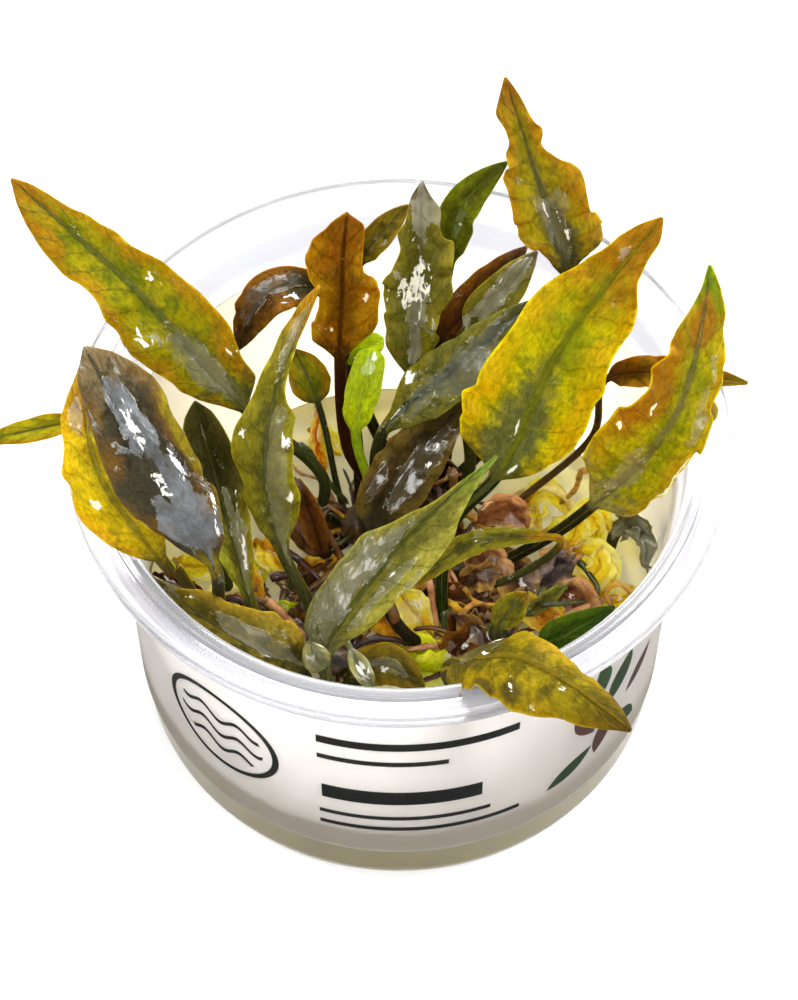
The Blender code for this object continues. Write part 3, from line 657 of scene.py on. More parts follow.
def lathe(profile, turns):
    """A rounded profile carried once round Z: rows of rings."""
    outline = rounded(profile)
    angle = np.linspace(0, 2 * pi, turns, endpoint=False)
    ring = np.stack([np.cos(angle), np.sin(angle)], -1)
    flat = outline[:, None, :1] * ring[None]
    height = np.broadcast_to(outline[:, None, 1:], flat.shape[:2] + (1,))
    return np.concatenate([flat, height], -1)


def clear_plastic(settings):
    """Injection-moulded polypropylene: clear wall; milky collar and flange, tinted bluish grey as painted
    shade.
    """
    mat, add = new_material("clear_moulded_polypropylene")
    where = add("TexCoord").outputs["Object"]
    height = add("SeparateXYZ", {0: where}).outputs[2]
    upper = add("MapRange", {0: height, 1: 0.0545, 2: 0.0575})
    clear = add("MapRange", {0: upper, 3: 0.985, 4: settings.clear})
    # The collar and flange are less clear (milky) and take the darker bluish-grey tint, which is painted
    # shade
    tint = add("Mix", {0: upper, 6: linear((0.99, 0.99, 0.985)), 7: linear(settings.plastic)},
               data_type="RGBA")
    # Fine lines run round the cup where it was moulded: noise on the radius and the height only
    around = add("VectorMath", {0: where, 1: (1, 1, 0)}, operation="MULTIPLY")
    radius = add("VectorMath", {0: around}, operation="LENGTH").outputs["Value"]
    section = add("CombineXYZ", {0: radius, 2: height})
    flow = add("TexNoise", {"Vector": section, "Scale": per_mm(2.5), "Detail": 2})
    bump = add("Bump", {"Height": flow, "Distance": 0.00006, "Strength": 0.12})
    haze = add("MapRange", {0: flow, 1: 0.3, 2: 0.7, 3: settings.haze * 0.8, 4: settings.haze * 1.25})
    glass = add("BsdfPrincipled", {
        "Base Color": tint, "Roughness": haze, "IOR": 1.49,
        "Transmission Weight": clear, "Specular Tint": (0.5, 0.5, 0.5, 1), "Normal": bump})
    add("OutputMaterial", {"Surface": glass})
    return mat


def culture_gel(settings):
    """Agar culture gel: wet, cloudy and pale, so it glows with the light that enters it."""
    mat, add = new_material("cloudy_agar_gel")
    where = add("TexCoord").outputs["Object"]
    clouds = add("TexNoise", {"Vector": where, "Scale": per_mm(8), "Detail": 4})
    clear = add("MapRange", {0: clouds, 1: 0.35, 2: 0.65})
    tint = add("Mix", {0: clear, 6: linear("#FAF2B0"), 7: linear(settings.gel)}, data_type="RGBA")
    ripple = add("TexNoise", {"Vector": where, "Scale": per_mm(2.5), "Detail": 3})
    bump = add("Bump", {"Height": ripple, "Distance": 0.0002, "Strength": 0.5})
    gel = add("BsdfPrincipled", {
        "Base Color": tint, "Roughness": 0.16, "IOR": 1.34, "Transmission Weight": 0.5,
        "Normal": bump})
    add("OutputMaterial", {"Surface": gel})
    return mat


def gel_side():
    """The gel against the wall: its dark olive diffuse colour is painted shade; it lets yellow light
    through. dull and olive, lit only by what comes through it.
    """
    mat, add = new_material("agar_gel_painted_shade_at_wall")
    where = add("TexCoord").outputs["Object"]
    clouds = add("TexNoise", {"Vector": where, "Scale": per_mm(6), "Detail": 3})
    tint = add("Mix", {0: clouds, 6: linear("#E8DA88"), 7: linear("#D0C068")}, data_type="RGBA")
    # Painted shade: a dark olive diffuse colour for the gel seen through the wall
    skin = add("BsdfPrincipled", {
        "Base Color": linear("#3C3608"), "Roughness": 0.9, "IOR": 1.34, "Specular IOR Level": 0.0})
    end_translucent(add, 0.8, skin, {"Color": tint})
    return mat


# Marks on the label, in mm round the wall from the front and up from the base.
# Bars: middle, half length, half height. Waves: height of each line inside the ring.
BARS = [
    (3, 45.5, 15.5, 1.1), (-2.5, 40.2, 10, 0.7), (0.5, 29, 12.5, 2.1), (1, 22.2, 13.5, 0.6),
    (3.5, 18.6, 16, 0.6),
]
RING = (-30, 33, 10.5, 0.55)          # middle, radius, half line
WATER = (28.2, 32.6, 37.0)
WATER_GAP, WAVE_LENGTH, WAVE_HEIGHT = 2.2, 7, 1.1
PANEL = (55.0, 80.0)                  # where the cream panel starts and is full, round the wall
# Leaflets of the printed sprig: middle, half length, half width, turn in degrees, red or not
LEAFLETS = [
    (29, 21, 5.2, 1.9, 30, 0), (36, 25, 5.6, 2.1, 74, 1), (42, 22, 5, 1.8, 130, 0),
    (31.5, 33, 5.6, 2.2, 112, 1), (39, 38.5, 6, 2.3, 66, 0), (45, 33, 4.8, 1.8, 40, 1),
    (34.5, 44, 4.6, 1.7, 98, 0),
]


def label_film(settings):
    """Printed polypropylene film: white, satin, with dark bars, a ring of water and a sprig."""
    mat, add = new_material("printed_label_film")
    place = add("Attribute", attribute_name="print").outputs["Vector"]
    flat = add("VectorMath", {0: place, 1: (1, 1, 0)}, operation="MULTIPLY")
    masks = []
    for x, y, long, high in BARS:
        local = add("Mapping", {"Vector": flat, "Location": (x, y, 0), "Scale": (long, high, 1)},
                    vector_type="TEXTURE")
        size = add("VectorMath", {0: local}, operation="ABSOLUTE")
        axes = add("SeparateXYZ", {0: size})
        far = add("Math", {0: axes.outputs[0], 1: axes.outputs[1]}, operation="MAXIMUM")
        masks.append(add("Math", {0: far, 1: 1.0}, operation="LESS_THAN"))
    x, y, radius, line = RING
    away = add("VectorMath", {0: flat, 1: (x, y, 0)}, operation="DISTANCE")
    masks.append(add("Math", {0: away.outputs["Value"], 1: radius, 2: line}, operation="COMPARE"))
    inside = add("Math", {0: away.outputs["Value"], 1: radius - WATER_GAP}, operation="LESS_THAN")
    axes = add("SeparateXYZ", {0: place})
    swell = add("Math", {0: axes.outputs[0], 1: 2 * pi / WAVE_LENGTH}, operation="MULTIPLY")
    swell = add("Math", {0: swell}, operation="SINE")
    for height in WATER:
        crest = add("Math", {0: swell, 1: WAVE_HEIGHT, 2: height}, operation="MULTIPLY_ADD")
        thin = add("Math", {0: axes.outputs[1], 1: crest, 2: line}, operation="COMPARE")
        masks.append(add("Math", {0: thin, 1: inside}, operation="MULTIPLY"))
    ink = masks[0]
    for mask in masks[1:]:
        ink = add("Math", {0: ink, 1: mask}, operation="MAXIMUM")
    colour = add("Mix", {0: ink, 6: linear(settings.paper), 7: linear(settings.ink)},
                 data_type="RGBA")
    for x, y, long, high, turn, red in LEAFLETS:
        local = add("Mapping", {
            "Vector": flat, "Location": (x, y, 0), "Rotation": (0, 0, radians(turn)),
            "Scale": (long, high, 1)}, vector_type="TEXTURE")
        size = add("SeparateXYZ", {0: add("VectorMath", {0: local}, operation="ABSOLUTE")})
        bow = add("Math", {0: size.outputs[0], 1: 2.0}, operation="POWER")
        far = add("Math", {0: bow, 1: size.outputs[1]}, operation="ADD")
        shape = add("Math", {0: far, 1: 1.0}, operation="LESS_THAN")
        tone = "#8C6E64" if red else "#5E7A56"
        colour = add("Mix", {0: shape, 6: colour, 7: linear(tone)}, data_type="RGBA")
    # The inner side of its back half turns cream
    round_by = add("Math", {0: axes.outputs[0]}, operation="ABSOLUTE")
    back = add("MapRange", {0: round_by, 1: PANEL[0], 2: PANEL[1]}, interpolation_type="SMOOTHSTEP")
    panel = add("Math", {0: axes.outputs[2], 1: back}, operation="MULTIPLY")
    colour = add("Mix", {0: panel, 6: colour, 7: linear("#DED5BC")}, data_type="RGBA")
    film = add("BsdfPrincipled", {
        "Base Color": colour, "Roughness": 0.42, "IOR": 1.5, "Coat Weight": 0.15, "Coat Roughness": 0.2})
    end_translucent(add, 0.92, film, {"Color": colour})
    return mat


def leaf_tissue(kind, vein_gap):
    """Living leaf under a broken water film: mottled tissue that lets warm light through.

    The film is a smooth coat over crisp-edged patches, into which a grey sheen of reflected light is
    painted, with painted white highlights as glints and along the film's edges.
    """
    tones, through, wet, veil, more = FINISHES[kind]
    look = {**USUAL, **dict(zip(TONES, tones.split())), **more}
    mat, add = new_material("wet_leaf_" + kind)
    where = add("TexCoord").outputs["Object"]
    place, spots = (
        add("SeparateXYZ", {0: add("Attribute", attribute_name=name).outputs["Vector"]})
        for name in ("blade", "spots"))
    across = add("Math", {0: place.outputs[0]}, operation="ABSOLUTE")
    along, length = place.outputs[1], place.outputs[2]
    flow = add("Attribute", attribute_name="flow").outputs["Vector"]
    # Clouds of 6 mm, mottles of 2.2 mm, and grain, pools and beads drawn out along the blade
    broad, mottle, grain, pools, beads = (
        add("TexNoise", {"Vector": vector, "Scale": scale, "Detail": detail, "Roughness": rough,
                         "Distortion": bend})
        for vector, scale, detail, rough, bend in (
            (where, per_mm(6), 3, 0.5, 0), (where, per_mm(2.2), 5, 0.65, 0), (flow, 2.2, 4, 0.7, 0),
            (flow, 0.32, 8, 0.64, 0.4), (flow, 0.85, 4, 0.6, 0.8)))
    cloud = add("Math", {0: mottle, 1: 0.8, 2: broad}, operation="MULTIPLY_ADD")
    reach = add("Math", {0: broad, 1: 1.6, 2: across}, operation="MULTIPLY_ADD")
    shaken = add("Math", {0: mottle, 1: -0.5, 2: along}, operation="MULTIPLY_ADD")
    stained = add("Math", {0: mottle, 1: 0.9, 2: spots.outputs[2]}, operation="MULTIPLY_ADD")
    # Cloudy patches, a margin pushed in and out by the broad noise, a broad duller band along the
    # midrib, a dark foot and coloured tip with ragged borders, the stalk, and the leaf's stained parts
    soft = "SMOOTHSTEP"
    colour = linear(look["blade"])
    for source, start, end, most, ease, tone in (
            (cloud, 0.8, 1.0, 1.0, soft, "blotch"), (reach, 1.2, 1.75, 0.9, soft, "margin"),
            (reach, 1.05, 0.72, look["deep"], soft, "rib"), (shaken, -0.05, -0.25, 0.9, soft, "foot"),
            (shaken, look["top"], look["top"] + 0.24, 0.85, soft, "tip"),
            (along, 0.03, -0.03, 1.0, "LINEAR", "stalk"), (stained, 0.5, 1.0, 0.9, soft, "stain")):
        mask = add("MapRange", {0: source, 1: start, 2: end, 4: most}, interpolation_type=ease)
        colour = add("Mix", {0: mask, 6: colour, 7: linear(look.get(tone, look["foot"]))},
                     data_type="RGBA")
    # Side veins leave the midrib slanting to the tip, one each vein gap, bent by the noise
    slant = add("Math", {0: across, 1: -VEIN_SLANT}, operation="MULTIPLY")
    spaced = add("Math", {0: length, 1: 1 / (vein_gap / MM), 2: slant}, operation="MULTIPLY_ADD")
    bent = add("Math", {0: broad, 1: 1.4, 2: spaced}, operation="MULTIPLY_ADD")
    turn = add("Math", {0: bent, 1: 2 * pi}, operation="MULTIPLY")
    vein = add("Math", {0: turn}, operation="COSINE")
    vein = add("MapRange", {0: vein, 1: 0.8, 2: 1.0, 4: 0.24}, interpolation_type=soft)
    ridge = add("MapRange", {0: across, 1: 0.13, 2: 0.03, 4: 0.85}, interpolation_type=soft)
    shade = add("Math", {0: vein, 1: ridge}, operation="MAXIMUM")
    # Painted backlit rim: the glow colour mixed in along the margin
    rim = add("MapRange", {0: across, 1: 0.93, 2: 1.0, 4: 0.55})
    for mask, tone in ((shade, "rib"), (rim, "glow")):
        colour = add("Mix", {0: mask, 6: colour, 7: linear(look[tone])}, data_type="RGBA")
    # Grain speckles the colour by how light the tissue is; on the old leaf on the gel this lift is painted
    # glow
    speck = add("MapRange", {
        0: grain, 1: 0.35, 2: 0.65, 3: 0.7 * look["light"], 4: 1.3 * look["light"]})
    colour = add("VectorMath", {0: colour, 1: speck}, operation="MULTIPLY")
    under = add("Attribute", attribute_name="under").outputs["Fac"]
    below = add("Math", {0: under, 1: 0.7}, operation="MULTIPLY")
    colour = add("Mix", {0: below, 6: colour, 7: linear(look["under"])}, data_type="RGBA")
    # Water film in crisp-edged patches with a painted grey sheen, then painted white highlights
    wetter = add("Math", {0: spots.outputs[0], 1: 0.4, 2: pools}, operation="MULTIPLY_ADD")
    line = 0.7 - 0.15 * wet
    film = add("MapRange", {0: wetter, 1: line, 2: line + 0.02})
    # Painted white glints of reflected light
    painted_glint_field = add("Math", {0: spots.outputs[1], 1: 0.36, 2: beads}, operation="MULTIPLY_ADD")
    glint = add("MapRange", {0: painted_glint_field, 1: 0.755, 2: 0.77})
    # Painted sheen: grey reflected light mixed into the colour where the film lies
    streak = add("MapRange", {0: beads, 1: 0.35, 2: 0.62, 3: look["even"] * veil, 4: veil})
    painted_sheen_mask = add("Math", {0: film, 1: streak}, operation="MULTIPLY")
    pale = add("MapRange", {0: broad, 1: 0.38, 2: 0.62, 3: 0.6, 4: 1.15})
    sheen = add("VectorMath", {0: linear(look["sheen"])[:3], 1: pale}, operation="MULTIPLY")
    colour = add("Mix", {0: painted_sheen_mask, 6: colour, 7: sheen}, data_type="RGBA")
    # Painted white highlight along the edges of the film patches
    off = add("Math", {0: wetter, 1: line + 0.004}, operation="SUBTRACT")
    off = add("Math", {0: off}, operation="ABSOLUTE")
    painted_edge_highlight = add("MapRange", {0: off, 1: 0.007, 2: 0.003, 4: 0.6})
    broken = add("MapRange", {0: beads, 1: 0.48, 2: 0.56})
    painted_edge_highlight = add("Math", {0: painted_edge_highlight, 1: broken}, operation="MULTIPLY")
    colour = add("Mix", {0: painted_edge_highlight, 6: colour, 7: linear("#E6E2C8")}, data_type="RGBA")
    # Painted highlight: the white glints mixed into the colour
    tissue_and_painted_light = add("Mix", {0: glint, 6: colour, 7: linear("#F2F1EA")}, data_type="RGBA")
    coat = add("MapRange", {0: film, 3: 0.0, 4: 0.9})
    relief = add("Math", {0: mottle, 1: 0.5, 2: shade}, operation="MULTIPLY_ADD")
    skin = add("Bump", {"Height": relief, "Distance": 0.0004, "Strength": 0.9})
    drops = add("Math", {0: film, 1: 0.4, 2: beads}, operation="MULTIPLY_ADD")
    drops = add("Math", {0: glint, 1: 0.5, 2: drops}, operation="MULTIPLY_ADD")
    glaze = add("Bump", {"Height": drops, "Distance": 0.0004, "Strength": look["glaze"]})
    rough = add("MapRange", {0: film, 3: 0.5, 4: 0.32})
    tissue = add("BsdfPrincipled", {
        "Base Color": tissue_and_painted_light, "Roughness": rough, "IOR": 1.4, "Specular IOR Level": 0.08,
        "Coat Weight": coat, "Coat Roughness": 0.04, "Coat IOR": 1.75, "Normal": skin, "Coat Normal": glaze})
    lit = tuple(1.9 * channel for channel in linear(look["glow"])[:3])
    warm = add("VectorMath", {0: tissue_and_painted_light, 1: lit}, operation="MULTIPLY")
    warm = add("VectorMath", {0: warm, 1: (1, 1, 1)}, operation="MINIMUM")
    end_translucent(add, through, tissue, {"Color": warm, "Normal": skin})
    return mat


def finish_of(kind, settings):
    """The leaf material of this kind, made once."""
    return bpy.data.materials.get("wet_leaf_" + kind) or leaf_tissue(kind, settings.vein_gap)


def patches(rows, q, x):
    """Height of soft cones on the blade: one less the distance from a patch's middle, in its sizes."""
    field = np.zeros(np.broadcast_shapes(q.shape, x.shape))
    for middle, off, long, wide in rows:
        field = np.maximum(field, 1 - np.hypot((q - middle) / long, (x - off) / wide))
    return field


def graph(x, y, where):
    """Heights of a smooth line through a graph's points, where its x has the given values."""
    points = np.stack([x, y], -1)
    return smooth_line(points, np.interp(where, x, chord_lengths(points)))[:, 1]


def half_widths(row, q, thick):
    """Half widths left and right at parts q of the blade: measured ones, or one oval formula."""
    knots = np.linspace(0, 1, PARTS + 1)
    if "left" in row:
        sides = [[thick / 2] + row[side] + [NARROWEST] for side in ("left", "right")]
    else:
        widest = row.get("widest", WIDEST)
        a, b = 1.3 * widest, 1.3 * (1 - widest)
        oval = row["width"] / 2 * (knots / widest) ** a * ((1 - knots) / (1 - widest)) ** b
        oval[0], oval[-1] = thick / 2, NARROWEST
        sides = [oval, oval]
    return [np.maximum(graph(knots * PARTS, side, q * PARTS), 0.2) for side in sides]


def there_and_back(values):
    """Values across the upper skin, and again back across the lower one."""
    return np.concatenate([values, values[..., -2:0:-1]], axis=-1)


def leaf_grid(row, places, settings, seed):
    """A leaf as rings from its stalk's foot to its tip, with the marks of each point.

    The middle line runs smoothly through the places. Each half of a section is a curve whose
    direction turns from the fold to the fold and roll; its places are the running sums of that
    direction's cosine and sine times the half width. Ruffles lift the outer part by sine waves.
    The two skins stand half the thickness each side of this sheet, like a lens.
    """
    rng = np.random.default_rng(seed)
    places = np.array(places, float)
    base, _, tip = chord_lengths(places)[-3:]
    thick = row.get("thick", STALK)
    steps = max(int((tip - base) / row.get("step", settings.step / MM)), 12)
    on_stalk = int(np.clip(base / 1.2, 4, 30))
    where = np.concatenate([np.linspace(0, base, on_stalk, endpoint=False), np.linspace(base, tip, steps)])
    line = smooth_line(places, where)
    forward = unit(np.gradient(line, where, axis=0))
    bearing, rise = (radians(a) for a in row.get("face", FACE))
    looks = np.array([cos(rise) * cos(bearing), cos(rise) * sin(bearing), sin(rise)])
    side = unit(np.cross(forward, looks))
    up = np.cross(side, forward)
    past = (where - base)[:, None]
    q = np.clip((where - base) / (tip - base), 0, 1)
    on_blade = where > base
    opened = np.minimum(6 * q, 1)[:, None]
    envelope = (np.minimum(5 * q, 1) * np.minimum(4 * (1 - q), 1))[:, None]
    halves = half_widths(row, q, thick)
    s = np.sin(np.linspace(0, pi / 2, row.get("across", settings.across) + 1))
    out = s[None, 1:]
    height, number = row["ruffle"]
    flat, lift = [], []
    for sign, half, fold, roll in zip((-1, 1), halves, row["fold"], row["roll"]):
        half = np.where(on_blade, half, thick / 2)[:, None]
        uneven = (q + 0.06 * np.sin(2 * pi * 1.3 * q + rng.uniform(0, 6)))[:, None]
        phase = 2 * pi * number * uneven + rng.uniform(0, 6)
        swell = 0.75 + 0.6 * np.sin(0.37 * phase + rng.uniform(0, 6))
        half = half * (1 + 0.035 * envelope * swell * np.sin(1.3 * phase + 1))
        margin = np.clip((s - ROLL_FROM) / (1 - ROLL_FROM), 0, 1) ** 1.5
        turn = radians(fold) * opened + radians(roll) * opened * margin
        run, rise_by = (
            np.cumsum((part(turn[:, 1:]) + part(turn[:, :-1])) / 2 * np.diff(s), axis=1)
            for part in (np.cos, np.sin))
        wave = np.sin(phase) + 0.4 * np.sin(2.3 * phase + 1)
        if "left" in row:
            run = run / run[:, -1:]
            even = np.convolve(np.pad(half[:, 0], 20, "edge"), np.ones(41) / 41, "valid")[:, None]
            rise_by = rise_by + 0.9 * (even / half - 1) * envelope * out ** 3
        wave = height * settings.ruffle * envelope * swell * out ** 2 * wave
        cells = np.cos(2 * pi * (past / (settings.vein_gap / MM) - VEIN_SLANT * out))
        quilt = -QUILT * cells * envelope * out * (1 - out)
        flat.append(sign * half * run)
        lift.append(half * rise_by + wave + quilt)
    zero = np.zeros((len(where), 1))
    flat, lift = (
        np.concatenate([left[:, ::-1], zero, right], axis=1) for left, right in (flat, lift))
    sheet = line[:, None] + side[:, None] * flat[..., None] + up[:, None] * lift[..., None]
    bumps = sum(high * lumps(sheet, size, seed + more) for high, size, more in UNEVEN)
    sheet = sheet + up[:, None] * (bumps * envelope)[..., None]
    if "crumple" in row:
        amount = row["crumple"] * np.minimum(3 * q, 1)[:, None, None]
        shift = [lumps(sheet, 3.2, seed + k) + 0.5 * lumps(sheet, 1.4, seed + 7 + k) for k in range(3)]
        sheet = sheet + amount * np.stack(shift, -1)
    normal = -unit(np.cross(np.gradient(sheet, axis=0), np.gradient(sheet, axis=1)))
    x = np.concatenate([-s[:0:-1], s])
    body = np.where(on_blade, np.maximum(row.get("body", SKIN), thick * (1 - 5 * q)), thick) / 2
    lens = body[:, None] * np.sqrt(1 - x**2)[None]
    width = (halves[0] + halves[1])[:, None] / 2
    rib = RIB[0] * opened * (1 - q)[:, None] * np.exp(-(x[None] * width / RIB[1]) ** 2)
    top = sheet + normal * (lens - 0.5 * rib)[..., None]
    bottom = sheet - normal * (lens + rib)[..., None]
    ring = np.concatenate([top, bottom[:, -2:0:-1]], axis=1)
    spread = there_and_back(x)[None]
    part = np.where(on_blade, q, where / base - 1)[:, None]
    sideways = np.concatenate([-halves[0][:, None] * s[None, :0:-1], halves[1][:, None] * s[None]], 1)
    under = np.where(np.arange(spread.size) > x.size - 1, on_blade[:, None], 0)
    return ring, {
        "blade": np.stack(np.broadcast_arrays(spread, part, past), -1),
        "spots": np.stack([patches(row.get(kind, ()), part, spread)
                           for kind in ("film", "glint", "stain")], -1),
        "flow": np.stack(np.broadcast_arrays(there_and_back(sideways), 0.4 * past, 7.3 * seed), -1),
        "under": under}


def joined(made):
    """Several leaf grids as one list of rings and one set of marks."""
    keys = made[0][1]
    size = {key: (-1, 1) if key == "under" else (-1, 3) for key in keys}
    return [ring for ring, _ in made], {
        key: np.concatenate([marks[key].reshape(size[key]) for _, marks in made]) for key in keys}


def tube(places, radius, sides=8, taper=0.3):
    """A round strand along a smooth line through places, thinner towards its end."""
    places = np.array(places, float)
    total = chord_lengths(places)[-1]
    where = np.linspace(0, total, max(int(total / 0.6), 6))
    line = smooth_line(places, where)
    forward = unit(np.gradient(line, where, axis=0))
    side = unit(np.cross(forward, np.array([0.31, 0.2, 0.93])))
    up = np.cross(side, forward)
    angle = np.linspace(0, 2 * pi, sides, endpoint=False)
    size = radius * (1 - taper * where / total)
    # Knotty along its length, and closing to a blunt end
    size *= 1 + 0.18 * np.sin(1.7 * where + places.sum()) * np.sin(0.6 * where + 1)
    size[-2:] *= [0.7, 0.25]
    ring = side[:, None] * np.cos(angle)[None, :, None] - up[:, None] * np.sin(angle)[None, :, None]
    return line[:, None] + ring * size[:, None, None]


def strand_tissue(name, colour, dark, coat=0.5):
    """Old stalk or root tissue: fibrous, streaked and wet."""
    mat, add = new_material(name)
    where = add("TexCoord").outputs["Object"]
    streak = add("TexNoise", {"Vector": where, "Scale": per_mm(1.8), "Detail": 4})
    mix = add("MapRange", {0: streak, 1: 0.35, 2: 0.65})
    tint = add("Mix", {0: mix, 6: linear(colour), 7: linear(dark)}, data_type="RGBA")
    bump = add("Bump", {"Height": streak, "Distance": 0.0001, "Strength": 0.5})
    flesh = add("BsdfPrincipled", {
        "Base Color": tint, "Roughness": 0.45, "IOR": 1.4, "Coat Weight": coat,
        "Coat Roughness": 0.08, "Normal": bump})
    end_translucent(add, 0.25, flesh, {"Color": tint})
    return mat


class PLANTCUP_OT_cup(bpy.types.Operator):
    """Make the clear cup with its flange"""
    bl_idname = "plantcup.cup"
    bl_label = "Cup"

    def execute(self, context):
        settings = context.scene.plant_cup
        cup = closed_grid("clear_cup", [lathe(CUP_PROFILE, 240)], clear_plastic(settings))
        stand_for(cup, "cup")
        return {"FINISHED"}


class PLANTCUP_OT_gel(bpy.types.Operator):
    """Make the gel with its uneven top"""
    bl_idname = "plantcup.gel"
    bl_label = "Gel"

    def execute(self, context):
        settings = context.scene.plant_cup
        wall = lathe(GEL_PROFILE, 160)
        radii = np.linspace(40.9, 0.4, 68)[:, None]
        angle = np.linspace(0, 2 * pi, 160, endpoint=False)[None]
        top = np.stack(np.broadcast_arrays(
            radii * np.cos(angle), radii * np.sin(angle), GEL_LEVEL), -1)
        # Soft lumps, and a rim that creeps up the wall
        top[..., 2] += 0.25 * lumps(top, 9, 4) + 0.1 * lumps(top, 3.5, 5) + 0.25 * (radii / 41) ** 8
        gel = closed_grid("culture_gel", [np.concatenate([wall, top])], culture_gel(settings))
        gel.data.materials.append(gel_side())
        places = np.zeros(3 * len(gel.data.polygons))
        gel.data.polygons.foreach_get("center", places)
        beside = np.hypot(places[0::3], places[1::3]) > GEL_EDGE * MM
        gel.data.polygons.foreach_set("material_index", beside.astype(np.int32))
        stand_for(gel, "gel")
        return {"FINISHED"}


class PLANTCUP_OT_label(bpy.types.Operator):
    """Make the label that wraps the wall"""
    bl_idname = "plantcup.label"
    bl_label = "Label"

    def execute(self, context):
        settings = context.scene.plant_cup
        thick = settings.label_thick / MM
        angle = radians(90) + np.linspace(radians(LABEL_SEAM / 2), radians(360 - LABEL_SEAM / 2), 240)
        low, high = LABEL_HEIGHTS
        outer, height = np.array(
            [(0, high), (thick, high - 0.05), (thick, low + 0.05), (0, low)]).T
        radius, angle = LABEL_RADIUS + outer, angle[:, None]
        ring = np.stack(np.broadcast_arrays(
            radius * np.cos(angle), radius * np.sin(angle), height), -1)
        round_by = (angle - radians(270)) * (LABEL_RADIUS + thick)
        marks = np.stack(np.broadcast_arrays(round_by, height, (outer == 0).astype(float)), -1)
        label = closed_grid("wrap_label", [ring], label_film(settings), {"print": marks})
        label.data.set_sharp_from_angle(angle=radians(50))
        stand_for(label, "label")
        return {"FINISHED"}


class PLANTCUP_OT_crowns(bpy.types.Operator):
    """Make the knobbly crowns the stalks stand round"""
    bl_idname = "plantcup.crowns"
    bl_label = "Crowns"

    def execute(self, context):
        finish = strand_tissue("rootstock", "#5A4420", "#241A0C", 0.1)
        for number, (name, (x, y)) in enumerate(CROWNS.items()):
            grid = lathe(CROWN_PROFILE, 40)
            turn = np.arctan2(grid[..., 1], grid[..., 0]) + 0.12 * grid[..., 2]
            sheaths = 0.1 * np.cos(5 * turn + number)
            knobs = 0.10 * lumps(grid, 2.2, number)
            grain = 0.04 * lumps(grid, 0.9, number + 9)
            grid[..., :2] *= (1 + sheaths + knobs + grain)[..., None]
            crown = closed_grid("rootstock_" + name, [grid + (x, y, 0)], finish)
            stand_for(crown, "crown_" + name)
        return {"FINISHED"}


class PLANTCUP_OT_leaves(bpy.types.Operator):
    """Make the growing leaves"""
    bl_idname = "plantcup.leaves"
    bl_label = "Leaves"

    def execute(self, context):
        settings = context.scene.plant_leaves
        for seed, (name, (crown, seat, row)) in enumerate(LEAVES.items()):
            x, y = CROWNS[crown]
            away = np.array([cos(radians(seat)), sin(radians(seat))]) * FOOT_RING
            foot = (x + away[0], y + away[1], FOOT_HEIGHT)
            root = (x + 0.3 * away[0], y + 0.3 * away[1], FOOT_HEIGHT - 3)
            made = [leaf_grid(row, [root, foot] + row["places"], settings, seed)]
            for number, lobe in enumerate(row.get("lobes", ())):
                made.append(leaf_grid(lobe, lobe["places"], settings, seed + LOBE_SEED + number))
            rings, marks = joined(made)
            leaf = closed_grid(name + "_leaf", rings, finish_of(row["finish"], settings), marks)
            stand_for(leaf, "leaf_" + name)
        return {"FINISHED"}


class PLANTCUP_OT_loose(bpy.types.Operator):
    """Make the loose and withered pieces on the gel"""
    bl_idname = "plantcup.loose"
    bl_label = "Loose Pieces"

    def execute(self, context):
        settings = context.scene.plant_leaves
        for seed, (name, row) in enumerate(LOOSE.items()):
            ring, marks = leaf_grid(row, row["places"], settings, seed + LOOSE_SEED)
            leaf = closed_grid(name + "_piece", [ring], finish_of(row["finish"], settings), marks)
            stand_for(leaf, "leaf_" + name)
        return {"FINISHED"}


